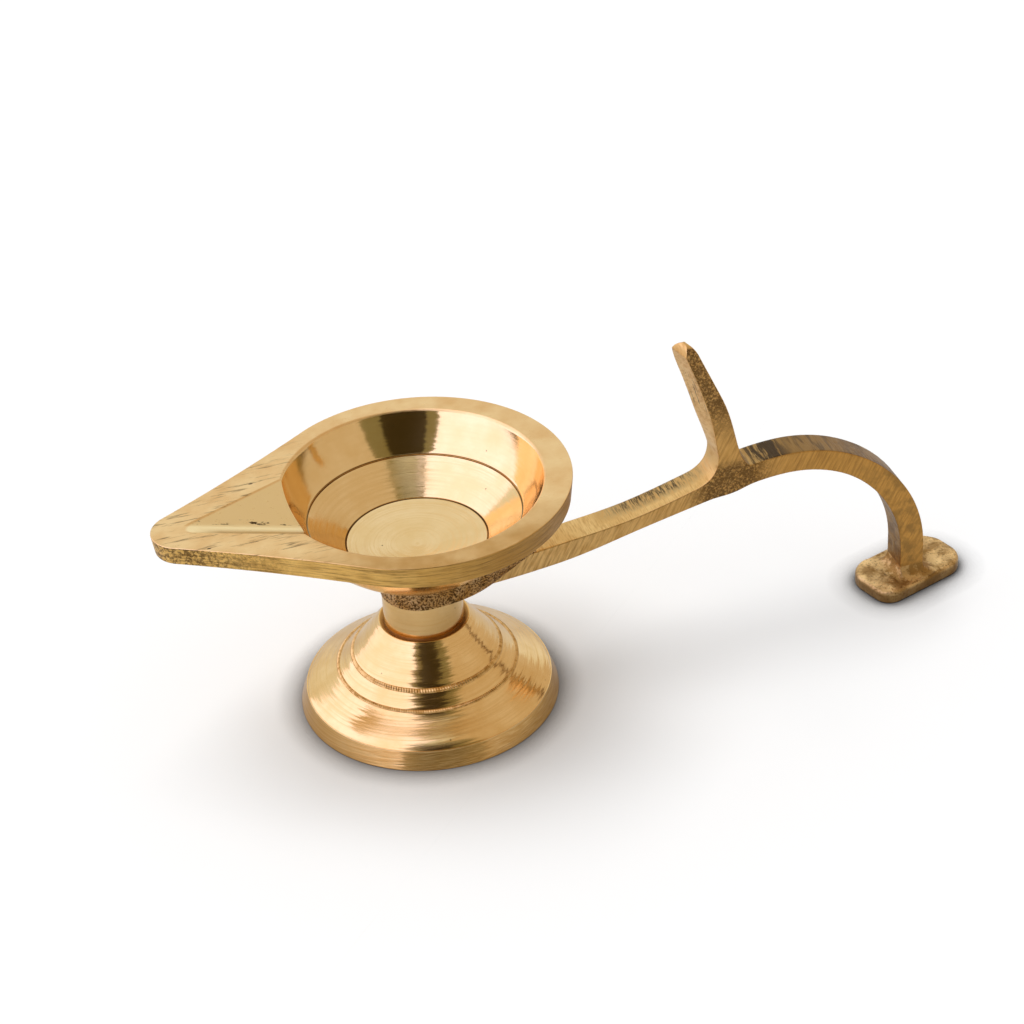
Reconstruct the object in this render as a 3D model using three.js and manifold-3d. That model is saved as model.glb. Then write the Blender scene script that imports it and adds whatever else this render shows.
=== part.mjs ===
// A single-wick aarti lamp in cast and turned brass.
//
// Four pieces are stacked on one upright axis: a hollow turned foot, the eye of a
// cast handle, and a teardrop bowl, drawn together by a threaded stud that is hidden
// inside them. Units are millimetres, +Z is up, the spout points along -X and the
// handle runs along +X to a pad that rests on the table beside the foot.

import * as THREE from "three";
import { mergeVertices } from "three/addons/utils/BufferGeometryUtils.js";
import Module from "manifold-3d";

const wasm = await Module();
wasm.setup();

// Driving dimensions of the foot
const FOOT_RADIUS = 24.85;
const BAND_HEIGHT = 3.5;
const BAND_TAPER = 1.4;
const SHOULDER_HEIGHT = 7.9;
const SHOULDER_RADIUS = 17.1;
const SHOULDER_BULGE = 0.7;
const CONE_FOOT_HEIGHT = 10.5;
const CONE_FOOT_RADIUS = 14.2;
const CONE_TOP_HEIGHT = 18.4;
const CONE_TOP_RADIUS = 8.7;
const NECK_GROOVE_DEPTH = 0.8;
const STEM_RADIUS = 7.6;
const STEM_TOP = 24.3;
const BEAD_HALF_WIDTH = 0.42;
const BEAD_RISE = 0.25;
const FOOT_WALL = 2.7;

// Driving dimensions of the stud and its tapped holes
const STUD_RADIUS = 4;
const STUD_RUNNING_CLEARANCE = 0.05;
const STUD_END_CHAMFER = 0.6;
const STUD_END_CLEARANCE = 0.5;
const FOOT_THREAD_DEPTH = 7;
const BOWL_THREAD_DEPTH = 3.8;
const EYE_HOLE_CLEARANCE = 0.3;

// Driving dimensions of the handle
const EYE_RADIUS = 7.75;
const EYE_THICKNESS = 4.2;
const NECK_PULL_X = 8.5;
const NECK_BOTTOM_END_X = 14.5;
const NECK_TOP_END_X = 22;
const STRAP_WIDTH = 6.3;
const STRAP_ROOT_THICKNESS = 4.2;
const WAIST_THICKNESS = 3;
const CREST_THICKNESS = 4.25;
const LEG_THICKNESS = 4.9;
const STRAP_ROOT_END_X = 26;
const WAIST_X = 43;
const CREST_START_X = 66;
const LEG_SWELL_START_X = 84;
const EDGE_BREAK = 0.2;
const STRAP_START_X = 10.5;
const STRAP_START_Z = 25.4;
const ARCH_CREST_X = 72.5;
const ARCH_CREST_Z = 35.6;
const ARCH_RADIUS = 26.9;
const RISE_PULL_X = 44;
const RISE_PULL_Z = 27;
const RISE_PULL_NEAR_CREST = 14.5;
const THUMB_REST_HEIGHT = 65.6;
const THUMB_REST_TIP_RISE = 2;
const THUMB_REST_PEAK_Y = -1.3;
const THUMB_REST_NEAR_END_LENGTH = 2.2;
const THUMB_REST_FAR_END_LENGTH = 7.4;
const THUMB_REST_FRONT_X = 58.7;
const THUMB_REST_FRONT_Z = 40.5;
const THUMB_REST_FILLET = 4.7;
const THUMB_REST_LEAN = 6.8;
const THUMB_REST_ROOT_THICKNESS = 4.3;
const THUMB_REST_KNEE_Z = 52;
const THUMB_REST_KNEE_THICKNESS = 4.15;
const THUMB_REST_TIP_THICKNESS = 2.5;
const THUMB_REST_TIP_FORWARD = 0.5;
const THUMB_REST_FRONT_HOLLOW = 0.5;
const THUMB_REST_BACK_FILLET = 2.4;
const THUMB_REST_SKEW_DEGREES = 12.5;
const THUMB_REST_SKEW_START = 39;
const THUMB_REST_SKEW_END = 50;
const PAD_LENGTH = 21.8;
const PAD_WIDTH = 12.7;
const PAD_OFFSET_X = 0.9;
const PAD_OFFSET_Y = 0.9;
const PAD_CORNER_RADIUS = 5;
const PAD_SQUARE_CORNER_RADIUS = 3.4;
const PAD_THICKNESS = 2.6;
const PAD_TURN_DEGREES = 18;
const PAD_EDGE_BREAK = 0.7;
const PAD_FILLET = 2.4;

// Driving dimensions of the bowl
const RIM_TOP = 48.3;
const MOUTH_RADIUS = 24.3;
const MOUTH_LIP_BREAK = 0.35;
const MOUTH_WALL_BULGE = 0.35;
const UPPER_LINE_RADIUS = 19.9;
const UPPER_LINE_HEIGHT = 40.9;
const LOWER_LINE_RADIUS = 13.2;
const LOWER_LINE_HEIGHT = 35.4;
const DISH_HEIGHT = 34.1;
const DISH_BULGE = 0.25;
const LINE_WIDTH = 0.4;
const LINE_DEPTH = 0.25;
const RIM_RADIUS = 28.6;
const RIM_OFFSET = 0.9;
const SPOUT_REACH = 48.6;
const SPOUT_TIP_RADIUS = 5.8;
const SPOUT_FLANK_HOLLOW = 0.5;
const RIM_SIDE_HEIGHT = 4.5;
const SPOUT_TIP_HEIGHT = 3.8;
const RIM_SIDE_TAPER = 0.5;
const BELLY_RADIUS = 25.2;
const BELLY_BULGE = 1.2;
const BOSS_RADIUS = 8.4;
const CHANNEL_START = 41.3;
const CHANNEL_DEPTH = 4.66;
const CHANNEL_FLARE = 1.53;
const CHANNEL_ROOT_HALF_WIDTH = 1.7;
const CHANNEL_ROOT_DEPTH = 0.45;
const CHANNEL_RUN_OUT = 43.4;
const KEEL_WALL = 2.5;
const KEEL_WIDTH_SHARE = 0.72;

// Facets round a full turn, and steps along curved stretches
const TURNED_FACETS = 72;
const CURVE_STEPS = 14;
const ARCH_STEPS = 22;
const RIM_BACK_STEPS = 44;
const SPOUT_TIP_STEPS = 12;
const CORNER_STEPS = 6;
const SMALL_STEPS = 4;

// How far a shape that cuts or joins runs past the surface that it meets
const OVERLAP = 1;

// Heights of the stack, each piece seated on the one below it
const EYE_BOTTOM = STEM_TOP;
const EYE_TOP = EYE_BOTTOM + EYE_THICKNESS;
const LEG_X = ARCH_CREST_X + ARCH_RADIUS;

const radians = THREE.MathUtils.degToRad;

// The lamp's two ends, and the middle between them, where the frame's origin is
const PAD_REACH =
  LEG_X +
  PAD_OFFSET_X +
  PAD_CORNER_RADIUS +
  (PAD_LENGTH / 2 - PAD_CORNER_RADIUS) * Math.cos(radians(PAD_TURN_DEGREES)) +
  (PAD_WIDTH / 2 - PAD_CORNER_RADIUS) * Math.sin(radians(PAD_TURN_DEGREES));
const ORIGIN_X = (PAD_REACH - SPOUT_REACH) / 2;

const point = (x, y) => new THREE.Vector2(x, y);

// A closed mesh as a solid that can be joined and cut.
function solid(geometry) {
  const bare = new THREE.BufferGeometry();
  bare.setAttribute("position", geometry.getAttribute("position"));
  bare.setIndex(geometry.getIndex());
  const merged = mergeVertices(bare, 1e-4);
  return new wasm.Manifold(
    new wasm.Mesh({
      numProp: 3,
      vertProperties: new Float32Array(merged.getAttribute("position").array),
      triVerts: new Uint32Array(merged.getIndex().array),
    }),
  );
}

// A finished solid back as a mesh with its own name, colour and finish.
function piece(name, body, finish) {
  const mesh = body.getMesh();
  const geometry = new THREE.BufferGeometry();
  geometry.setAttribute("position", new THREE.BufferAttribute(mesh.vertProperties, 3));
  geometry.setIndex(new THREE.BufferAttribute(mesh.triVerts, 1));
  geometry.computeVertexNormals();
  const made = new THREE.Mesh(geometry, new THREE.MeshStandardMaterial(finish));
  made.name = name;
  return made;
}

// A profile of radius and height turned about the upright axis.
function turned(profile) {
  const geometry = new THREE.LatheGeometry(profile, TURNED_FACETS);
  geometry.rotateX(Math.PI / 2);
  return solid(geometry);
}

// A plain round bar from one height to another, with chamfered ends.
function roundBar(radius, low, high, chamfer) {
  return turned([
    point(0, low),
    point(radius - chamfer, low),
    point(radius, low + chamfer),
    point(radius, high - chamfer),
    point(radius - chamfer, high),
    point(0, high),
  ]);
}

// A solid skinned over rings that all have the same number of points. The first and
// the last ring are each closed by a fan round their own centre.
function skinned(rings) {
  const count = rings[0].length;
  const positions = rings.flat().flatMap((p) => [p.x, p.y, p.z]);
  const faces = [];
  for (let r = 0; r + 1 < rings.length; r += 1) {
    for (let i = 0; i < count; i += 1) {
      const here = r * count + i;
      const next = r * count + ((i + 1) % count);
      faces.push(here, next, next + count);
      faces.push(here, next + count, here + count);
    }
  }
  for (const [ring, start] of [[rings[0], 0], [rings.at(-1), (rings.length - 1) * count]]) {
    const middle = ring.reduce((sum, p) => sum.add(p), new THREE.Vector3()).divideScalar(count);
    const centre = positions.length / 3;
    positions.push(middle.x, middle.y, middle.z);
    for (let i = 0; i < count; i += 1) {
      const next = (i + 1) % count;
      if (start === 0) faces.push(centre, next, i);
      else faces.push(centre, start + i, start + next);
    }
  }
  const geometry = new THREE.BufferGeometry();
  geometry.setAttribute("position", new THREE.Float32BufferAttribute(positions, 3));
  geometry.setIndex(faces);
  return solid(geometry);
}

// Points along a bowed line: a straight run with its middle pushed out sideways.
function bowed(from, to, bulge, steps = CURVE_STEPS) {
  const across = point(from.y - to.y, to.x - from.x).normalize();
  const pull = from.clone().add(to).divideScalar(2).addScaledVector(across, 2 * bulge);
  return new THREE.QuadraticBezierCurve(from, pull, to).getPoints(steps);
}

// A low rounded bead that stands on a turned slope between two points.
function bead(from, to, centre) {
  const along = to.clone().sub(from).normalize();
  const out = point(along.y, -along.x);
  return Array.from({ length: SMALL_STEPS + 1 }, (_, i) => {
    const angle = (Math.PI * i) / SMALL_STEPS;
    return centre
      .clone()
      .addScaledVector(along, -BEAD_HALF_WIDTH * Math.cos(angle))
      .addScaledVector(out, BEAD_RISE * Math.sin(angle));
  });
}

// The foot: a turned bell with a tapered band, a bulging shoulder, two beads that
// carry the milled lines, a cone, and a stem with a tapped hole for the stud.
function makeFoot() {
  const bandTop = point(FOOT_RADIUS - BAND_TAPER, BAND_HEIGHT);
  const lowerBead = point(SHOULDER_RADIUS, SHOULDER_HEIGHT);
  const upperBead = point(CONE_FOOT_RADIUS, CONE_FOOT_HEIGHT);
  const coneTop = point(CONE_TOP_RADIUS, CONE_TOP_HEIGHT);
  const outside = [
    point(FOOT_RADIUS, 0),
    ...bowed(bandTop, lowerBead, -SHOULDER_BULGE),
    ...bead(bandTop, upperBead, lowerBead),
    ...bead(lowerBead, coneTop, upperBead),
    coneTop,
    point(STEM_RADIUS, CONE_TOP_HEIGHT - NECK_GROOVE_DEPTH),
    point(STEM_RADIUS, STEM_TOP),
  ];
  const hollowTop = STEM_TOP - FOOT_THREAD_DEPTH - STUD_END_CLEARANCE - FOOT_WALL;
  const inside = [
    point(0, hollowTop),
    point(CONE_TOP_RADIUS - FOOT_WALL, hollowTop),
    point(CONE_FOOT_RADIUS - FOOT_WALL, CONE_FOOT_HEIGHT - FOOT_WALL / 2),
    point(SHOULDER_RADIUS - FOOT_WALL / 2, SHOULDER_HEIGHT - FOOT_WALL),
    point(FOOT_RADIUS - FOOT_WALL - BAND_TAPER / 2, BAND_HEIGHT - FOOT_WALL / 2),
    point(FOOT_RADIUS - FOOT_WALL, 0),
  ];
  const bell = turned([...inside, ...outside, point(0, STEM_TOP)]);
  const tappedHole = roundBar(
    STUD_RADIUS + STUD_RUNNING_CLEARANCE,
    STEM_TOP - FOOT_THREAD_DEPTH - STUD_END_CLEARANCE,
    STEM_TOP + OVERLAP,
    0,
  );
  return piece("foot", bell.subtract(tappedHole), {
    color: 0xc99a4b,
    roughness: 0.22,
    metalness: 1,
  });
}

// The stud: a plain bar here, held tight in the bowl and screwed down into the foot.
function makeStud() {
  const low = STEM_TOP - FOOT_THREAD_DEPTH;
  const high = EYE_TOP + BOWL_THREAD_DEPTH - STUD_END_CLEARANCE;
  return piece("stud", roundBar(STUD_RADIUS, low, high, STUD_END_CHAMFER), {
    color: 0xb08d4a,
    roughness: 0.4,
    metalness: 1,
  });
}

// The line through the middle of the strap: a long rise from the eye's neck to the
// crest, then a quarter circle down to the leg.
function strapMiddle() {
  const rise = new THREE.CubicBezierCurve(
    point(STRAP_START_X, STRAP_START_Z),
    point(RISE_PULL_X, RISE_PULL_Z),
    point(ARCH_CREST_X - RISE_PULL_NEAR_CREST, ARCH_CREST_Z),
    point(ARCH_CREST_X, ARCH_CREST_Z),
  ).getPoints(CURVE_STEPS);
  const arch = Array.from({ length: ARCH_STEPS }, (_, i) => {
    const turn = ((i + 1) / ARCH_STEPS) * (Math.PI / 2);
    return point(
      ARCH_CREST_X + ARCH_RADIUS * Math.sin(turn),
      ARCH_CREST_Z - ARCH_RADIUS * (1 - Math.cos(turn)),
    );
  });
  return [...rise, ...arch, point(LEG_X, PAD_THICKNESS / 2)];
}

// The strap's thickness along its length: waisted between the neck and the thumb rest,
// and heavier again in the leg.
function strapThickness(x) {
  const { smoothstep } = THREE.MathUtils;
  const waist = (WAIST_THICKNESS - STRAP_ROOT_THICKNESS) * smoothstep(x, STRAP_ROOT_END_X, WAIST_X);
  const crest = (CREST_THICKNESS - WAIST_THICKNESS) * smoothstep(x, WAIST_X, CREST_START_X);
  const leg = (LEG_THICKNESS - CREST_THICKNESS) * smoothstep(x, LEG_SWELL_START_X, LEG_X);
  return STRAP_ROOT_THICKNESS + waist + crest + leg;
}

// The strap's side outline: the middle line set off to both sides.
function strapOutline() {
  const middle = strapMiddle();
  const side = (sign) =>
    middle.map((here, i) => {
      const before = middle[Math.max(i - 1, 0)];
      const after = middle[Math.min(i + 1, middle.length - 1)];
      const along = after.clone().sub(before).normalize();
      const offset = (sign * strapThickness(here.x)) / 2;
      return here.clone().add(point(-along.y, along.x).multiplyScalar(offset));
    });
  return [...side(1), ...side(-1).reverse()];
}

// The thumb rest's side outline: a blade that leans back over the strap, with a
// hollow fillet in front, a thin rounded tip, a knee at its back and a small fillet
// down onto the arch.
function thumbRestOutline() {
  const middle = strapMiddle();
  const strapHeight = (x) => {
    const next = middle.findIndex((p) => p.x >= x);
    const [a, b] = [middle[next - 1], middle[next]];
    return THREE.MathUtils.mapLinear(x, a.x, b.x, a.y, b.y);
  };
  const front = point(THUMB_REST_FRONT_X, THUMB_REST_FRONT_Z);
  const toeX = front.x - THUMB_REST_FILLET;
  const toe = point(toeX, strapHeight(toeX) + strapThickness(toeX) / 2);
  const corner = point(front.x, toe.y + strapHeight(front.x) - strapHeight(toeX));
  const fillet = new THREE.QuadraticBezierCurve(toe, corner, front).getPoints(CURVE_STEPS);
  const shoulderZ = THUMB_REST_HEIGHT - THUMB_REST_TIP_RISE;
  const frontShoulder = point(front.x - THUMB_REST_LEAN, shoulderZ);
  const backShoulder = point(frontShoulder.x + THUMB_REST_TIP_THICKNESS, shoulderZ);
  const tip = new THREE.QuadraticBezierCurve(
    frontShoulder,
    point(
      (frontShoulder.x + backShoulder.x) / 2 - THUMB_REST_TIP_FORWARD,
      THUMB_REST_HEIGHT + THUMB_REST_TIP_RISE,
    ),
    backShoulder,
  ).getPoints(CORNER_STEPS);
  const kneeShare = (THUMB_REST_KNEE_Z - front.y) / (shoulderZ - front.y);
  const knee = front.clone().lerp(frontShoulder, kneeShare);
  knee.x += THUMB_REST_KNEE_THICKNESS;
  const root = point(front.x + THUMB_REST_ROOT_THICKNESS, front.y);
  const heelX = root.x + THUMB_REST_BACK_FILLET;
  const heel = point(heelX, strapHeight(heelX) + strapThickness(heelX) / 2);
  const backCorner = knee.clone().lerp(root, (knee.y - heel.y) / (knee.y - root.y));
  return [
    ...fillet,
    ...bowed(front, frontShoulder, -THUMB_REST_FRONT_HOLLOW).slice(1, -1),
    ...tip,
    knee,
    ...new THREE.QuadraticBezierCurve(root, backCorner, heel).getPoints(CORNER_STEPS),
    point(heelX, strapHeight(heelX)),
    point(toeX, strapHeight(toeX)),
  ];
}

// The thumb rest's front outline: as wide as the strap, then an end that falls away in
// a long curve on the far side of its peak and in a short one on the near side.
function thumbRestFront() {
  const half = STRAP_WIDTH / 2;
  const end = Array.from({ length: 2 * CORNER_STEPS + 1 }, (_, i) => {
    const angle = (Math.PI * i) / (2 * CORNER_STEPS);
    const far = i < CORNER_STEPS;
    const reach = far ? half - THUMB_REST_PEAK_Y : half + THUMB_REST_PEAK_Y;
    const length = far ? THUMB_REST_FAR_END_LENGTH : THUMB_REST_NEAR_END_LENGTH;
    return point(
      THUMB_REST_PEAK_Y + reach * Math.cos(angle),
      THUMB_REST_HEIGHT - length * (1 - Math.sin(angle)),
    );
  });
  const low = STRAP_START_Z;
  return [point(-half, low), point(half, low), ...end];
}

// The thumb rest's blade: its side outline across the strap, skewed so that its far
// edge stands nearer the bowl, and cut to its front outline.
function makeThumbRest() {
  const blade = acrossStrap(thumbRestOutline(), STRAP_WIDTH, EDGE_BREAK, (p) => {
    const share = THREE.MathUtils.smoothstep(p.z, THUMB_REST_SKEW_START, THUMB_REST_SKEW_END);
    p.x -= p.y * share * Math.tan(radians(THUMB_REST_SKEW_DEGREES));
  });
  const front = new THREE.ExtrudeGeometry(new THREE.Shape(thumbRestFront()), {
    depth: ARCH_CREST_X,
    bevelEnabled: false,
  });
  front.rotateX(Math.PI / 2);
  front.rotateZ(Math.PI / 2);
  return blade.intersect(solid(front));
}

// A side outline in X and Z given the strap's width along Y, with broken edges. Each
// of its points may then be moved a little.
function acrossStrap(outline, width, edgeBreak, move = () => {}) {
  const geometry = new THREE.ExtrudeGeometry(new THREE.Shape(outline), {
    depth: width - 2 * edgeBreak,
    bevelEnabled: true,
    bevelThickness: edgeBreak,
    bevelSize: edgeBreak,
    bevelOffset: -edgeBreak,
    bevelSegments: 1,
  });
  geometry.translate(0, 0, -(width - 2 * edgeBreak) / 2);
  geometry.rotateX(Math.PI / 2);
  const places = geometry.getAttribute("position");
  const place = new THREE.Vector3();
  for (let i = 0; i < places.count; i += 1) {
    place.fromBufferAttribute(places, i);
    move(place);
    places.setXYZ(i, place.x, place.y, place.z);
  }
  return solid(geometry);
}

// The outline of a plate with round corners, as points in turn. The near corner
// towards the foot may be squarer than the others.
function plateOutline(length, width, corner, nearCorner = corner) {
  const corners = [[1, 1, corner], [-1, 1, corner], [-1, -1, nearCorner], [1, -1, corner]];
  return corners.flatMap(([sideX, sideY, radius], quarter) =>
    Array.from({ length: CORNER_STEPS + 1 }, (_, i) => {
      const angle = (Math.PI / 2) * (quarter + i / CORNER_STEPS);
      return point(
        sideX * (length / 2 - radius) + radius * Math.cos(angle),
        sideY * (width / 2 - radius) + radius * Math.sin(angle),
      );
    }),
  );
}

// One ring of a plate at a height: its outline turned about its own middle.
function plateRing(outline, middle, turn, z) {
  return outline.map((p) => {
    const placed = p.clone().rotateAround(point(0, 0), turn).add(middle);
    return new THREE.Vector3(placed.x, placed.y, z);
  });
}

// The pad: a turned, round-cornered plate with a worn upper edge that meets the leg a
// little off its middle, and the hollow fillet that carries the leg out onto it.
function makePad() {
  const turn = radians(PAD_TURN_DEGREES);
  const middle = point(LEG_X + PAD_OFFSET_X, PAD_OFFSET_Y);
  const plate = skinned(
    [
      [PAD_EDGE_BREAK / 2, 0],
      [0, PAD_EDGE_BREAK / 2],
      [0, PAD_THICKNESS - PAD_EDGE_BREAK],
      [PAD_EDGE_BREAK, PAD_THICKNESS],
    ].map(([inset, z]) => {
      const outline = plateOutline(
        PAD_LENGTH - 2 * inset,
        PAD_WIDTH - 2 * inset,
        PAD_CORNER_RADIUS - inset,
        PAD_SQUARE_CORNER_RADIUS - inset,
      );
      return plateRing(outline, middle, turn, z);
    }),
  );
  const leg = point(LEG_X, 0);
  const fillet = Array.from({ length: CORNER_STEPS }, (_, i) => {
    const angle = (Math.PI / 2) * (i / CORNER_STEPS);
    const spread = PAD_FILLET * (1 - Math.sin(angle));
    const outline = plateOutline(
      LEG_THICKNESS + 2 * spread,
      STRAP_WIDTH + 2 * spread,
      spread + EDGE_BREAK,
    );
    const z = PAD_THICKNESS + PAD_FILLET * (1 - Math.cos(angle));
    return plateRing(outline, leg, turn * (spread / PAD_FILLET), z);
  });
  const buried = fillet[0].map((p) => p.clone().setZ(PAD_THICKNESS / 2));
  return plate.add(skinned([buried, ...fillet]));
}

// The eye: a cast disc, drawn out by a neck to the strap. The neck reaches further
// along the strap at its top.
function makeEye() {
  const disc = roundBar(EYE_RADIUS, EYE_BOTTOM, EYE_TOP, 0);
  const half = STRAP_WIDTH / 2 - EDGE_BREAK;
  const level = (endX, z) => {
    const side = new THREE.QuadraticBezierCurve(
      point(0, EYE_RADIUS),
      point(NECK_PULL_X, EYE_RADIUS),
      point(endX, half),
    ).getPoints(CORNER_STEPS);
    const otherSide = side.map((p) => point(p.x, -p.y)).reverse();
    return [...side, ...otherSide].reverse().map((p) => new THREE.Vector3(p.x, p.y, z));
  };
  return disc.add(
    skinned([level(NECK_BOTTOM_END_X, EYE_BOTTOM), level(NECK_TOP_END_X, EYE_TOP)]),
  );
}

// The handle: one casting with an eye, a strap that rises and arches over to a leg,
// an upright thumb rest, and a pad on the table.
function makeHandle() {
  const strap = acrossStrap(strapOutline(), STRAP_WIDTH, EDGE_BREAK);
  const hole = roundBar(
    STUD_RADIUS + EYE_HOLE_CLEARANCE,
    EYE_BOTTOM - OVERLAP,
    EYE_TOP + OVERLAP,
    0,
  );
  const casting = makeEye().add(strap).add(makeThumbRest()).add(makePad());
  return piece("handle", casting.subtract(hole), {
    color: 0xa87c3c,
    roughness: 0.45,
    metalness: 1,
  });
}

// The teardrop outline of the rim, drawn in by an inset: a round back, two slightly
// hollow flanks that are tangent to it, and a rounded tip.
function teardrop(inset) {
  const tipX = -SPOUT_REACH + SPOUT_TIP_RADIUS;
  const spread = Math.asin((RIM_RADIUS - SPOUT_TIP_RADIUS) / (RIM_OFFSET - tipX));
  const corner = Math.PI / 2 + spread;
  const arc = (x, radius, from, to, steps) =>
    Array.from({ length: steps + 1 }, (_, i) => {
      const angle = from + ((to - from) * i) / steps;
      return point(x + (radius - inset) * Math.cos(angle), (radius - inset) * Math.sin(angle));
    });
  const back = arc(RIM_OFFSET, RIM_RADIUS, -corner, corner, RIM_BACK_STEPS);
  const tip = arc(tipX, SPOUT_TIP_RADIUS, corner, 2 * Math.PI - corner, SPOUT_TIP_STEPS);
  const farFlank = bowed(back.at(-1), tip[0], SPOUT_FLANK_HOLLOW).slice(1, -1);
  const nearFlank = bowed(tip.at(-1), back[0], SPOUT_FLANK_HOLLOW).slice(1, -1);
  return [...back, ...farFlank, ...tip, ...nearFlank];
}

// The flange that carries the rim and the spout. Its side leans in a little, and it
// thins steadily from the bowl to the tip.
function makeFlange() {
  const sideHeight = (x) =>
    THREE.MathUtils.mapLinear(Math.min(x, 0), 0, -SPOUT_REACH, RIM_SIDE_HEIGHT, SPOUT_TIP_HEIGHT);
  const top = teardrop(0).map((p) => new THREE.Vector3(p.x, p.y, RIM_TOP));
  const bottom = teardrop(RIM_SIDE_TAPER).map(
    (p) => new THREE.Vector3(p.x, p.y, RIM_TOP - sideHeight(p.x)),
  );
  return skinned([bottom, top]);
}

// The turned belly below the flange, from the flat boss on the eye up to the rim.
function makeBelly() {
  const boss = point(BOSS_RADIUS, EYE_TOP);
  const bandBottom = point(BELLY_RADIUS, RIM_TOP - RIM_SIDE_HEIGHT);
  return turned([
    point(0, EYE_TOP),
    ...bowed(boss, bandBottom, -BELLY_BULGE),
    point(BELLY_RADIUS, RIM_TOP - OVERLAP),
    point(0, RIM_TOP - OVERLAP),
  ]);
}

// Depth of the wick channel's flanks below the rim at a distance from the lamp's axis.
// It runs straight from nothing near the tip to its full depth at the mouth.
const channelDepth = (distance) =>
  (CHANNEL_DEPTH * (CHANNEL_START - distance)) / (CHANNEL_START - MOUTH_RADIUS);

// The keel: the metal under the wick channel, a rounded boat bottom that grows from
// the tip and runs into the belly.
function makeKeel() {
  const from = CHANNEL_START;
  const to = LOWER_LINE_RADIUS;
  const rings = Array.from({ length: CORNER_STEPS + 1 }, (_, s) => {
    const distance = THREE.MathUtils.lerp(from, to, s / CORNER_STEPS);
    const depth = channelDepth(distance) + KEEL_WALL;
    const rimHalf = THREE.MathUtils.mapLinear(
      distance,
      SPOUT_REACH,
      0,
      SPOUT_TIP_RADIUS,
      RIM_RADIUS,
    );
    return Array.from({ length: CURVE_STEPS + 1 }, (_, i) => {
      const angle = (Math.PI * i) / CURVE_STEPS;
      const y = -KEEL_WIDTH_SHARE * rimHalf * Math.cos(angle);
      const z = RIM_TOP - OVERLAP - (depth - OVERLAP) * Math.sin(angle);
      return new THREE.Vector3(-distance, y, z);
    });
  });
  return skinned(rings);
}

// The wick channel as the shape that is cut away: straight flanks and a shallow
// rounded root, which runs out on the rim just short of the tip.
function makeChannel() {
  const ring = (distance) => {
    const depth = channelDepth(distance);
    const flank = CHANNEL_ROOT_HALF_WIDTH + (depth + OVERLAP) * CHANNEL_FLARE;
    const root = Array.from({ length: CORNER_STEPS + 1 }, (_, i) => {
      const share = (2 * i) / CORNER_STEPS - 1;
      return [CHANNEL_ROOT_HALF_WIDTH * share, -depth - CHANNEL_ROOT_DEPTH * (1 - share ** 2)];
    });
    return [[-flank, OVERLAP], ...root, [flank, OVERLAP]].map(
      ([y, z]) => new THREE.Vector3(-distance, y, RIM_TOP + z),
    );
  };
  return skinned([ring(CHANNEL_RUN_OUT), ring(LOWER_LINE_RADIUS)]);
}

// A fine engraved line at a point on the inner wall, between the slopes on its sides.
function engraved(from, at, to) {
  const before = from.clone().sub(at).setLength(LINE_WIDTH / 2).add(at);
  const after = to.clone().sub(at).setLength(LINE_WIDTH / 2).add(at);
  const across = after.clone().sub(before).normalize();
  const root = at.clone().addScaledVector(point(across.y, -across.x), LINE_DEPTH);
  return [before, root, after];
}

// The hollow of the bowl: a shallow dish, a cone and a slightly bowed upper wall with
// an engraved line at the foot of each, and a softened lip.
function makeHollow() {
  const dish = point(0, DISH_HEIGHT);
  const lower = point(LOWER_LINE_RADIUS, LOWER_LINE_HEIGHT);
  const upper = point(UPPER_LINE_RADIUS, UPPER_LINE_HEIGHT);
  const lip = point(MOUTH_RADIUS, RIM_TOP);
  return turned([
    ...bowed(dish, lower, -DISH_BULGE, CORNER_STEPS).slice(0, -1),
    ...engraved(dish, lower, upper),
    ...engraved(lower, upper, lip),
    ...bowed(upper, lip, -MOUTH_WALL_BULGE, CORNER_STEPS).slice(1, -1),
    point(MOUTH_RADIUS + MOUTH_LIP_BREAK, RIM_TOP),
    point(MOUTH_RADIUS + MOUTH_LIP_BREAK, RIM_TOP + OVERLAP),
    point(0, RIM_TOP + OVERLAP),
  ]);
}

// The bowl: a teardrop flange, belly and keel in one casting, with the hollow, the
// wick channel and the blind tapped hole in its boss cut out of it.
function makeBowl() {
  const tappedHole = roundBar(
    STUD_RADIUS + STUD_RUNNING_CLEARANCE,
    EYE_TOP - OVERLAP,
    EYE_TOP + BOWL_THREAD_DEPTH,
    0,
  );
  const body = makeFlange()
    .add(makeBelly())
    .add(makeKeel())
    .subtract(makeHollow())
    .subtract(makeChannel())
    .subtract(tappedHole);
  return piece("bowl", body, {
    color: 0xd9b06a,
    roughness: 0.3,
    metalness: 1,
  });
}

const lamp = new THREE.Group();
lamp.name = "single_wick_aarti_lamp";
lamp.add(makeFoot(), makeStud(), makeHandle(), makeBowl());
lamp.position.x = -ORIGIN_X;

export default lamp;
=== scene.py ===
# %% [markdown]
# # A single-wick aarti lamp in brass
#
# The lamp is three brass castings on one upright axis: a turned foot, a handle with a
# rough eye, and a teardrop bowl with a channel for the wick. A hidden stud holds them
# together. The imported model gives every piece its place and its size.

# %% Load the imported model
import math

import bmesh
import bpy
from mathutils import Matrix, Quaternion, Vector, noise
from mathutils.geometry import interpolate_bezier


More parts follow.
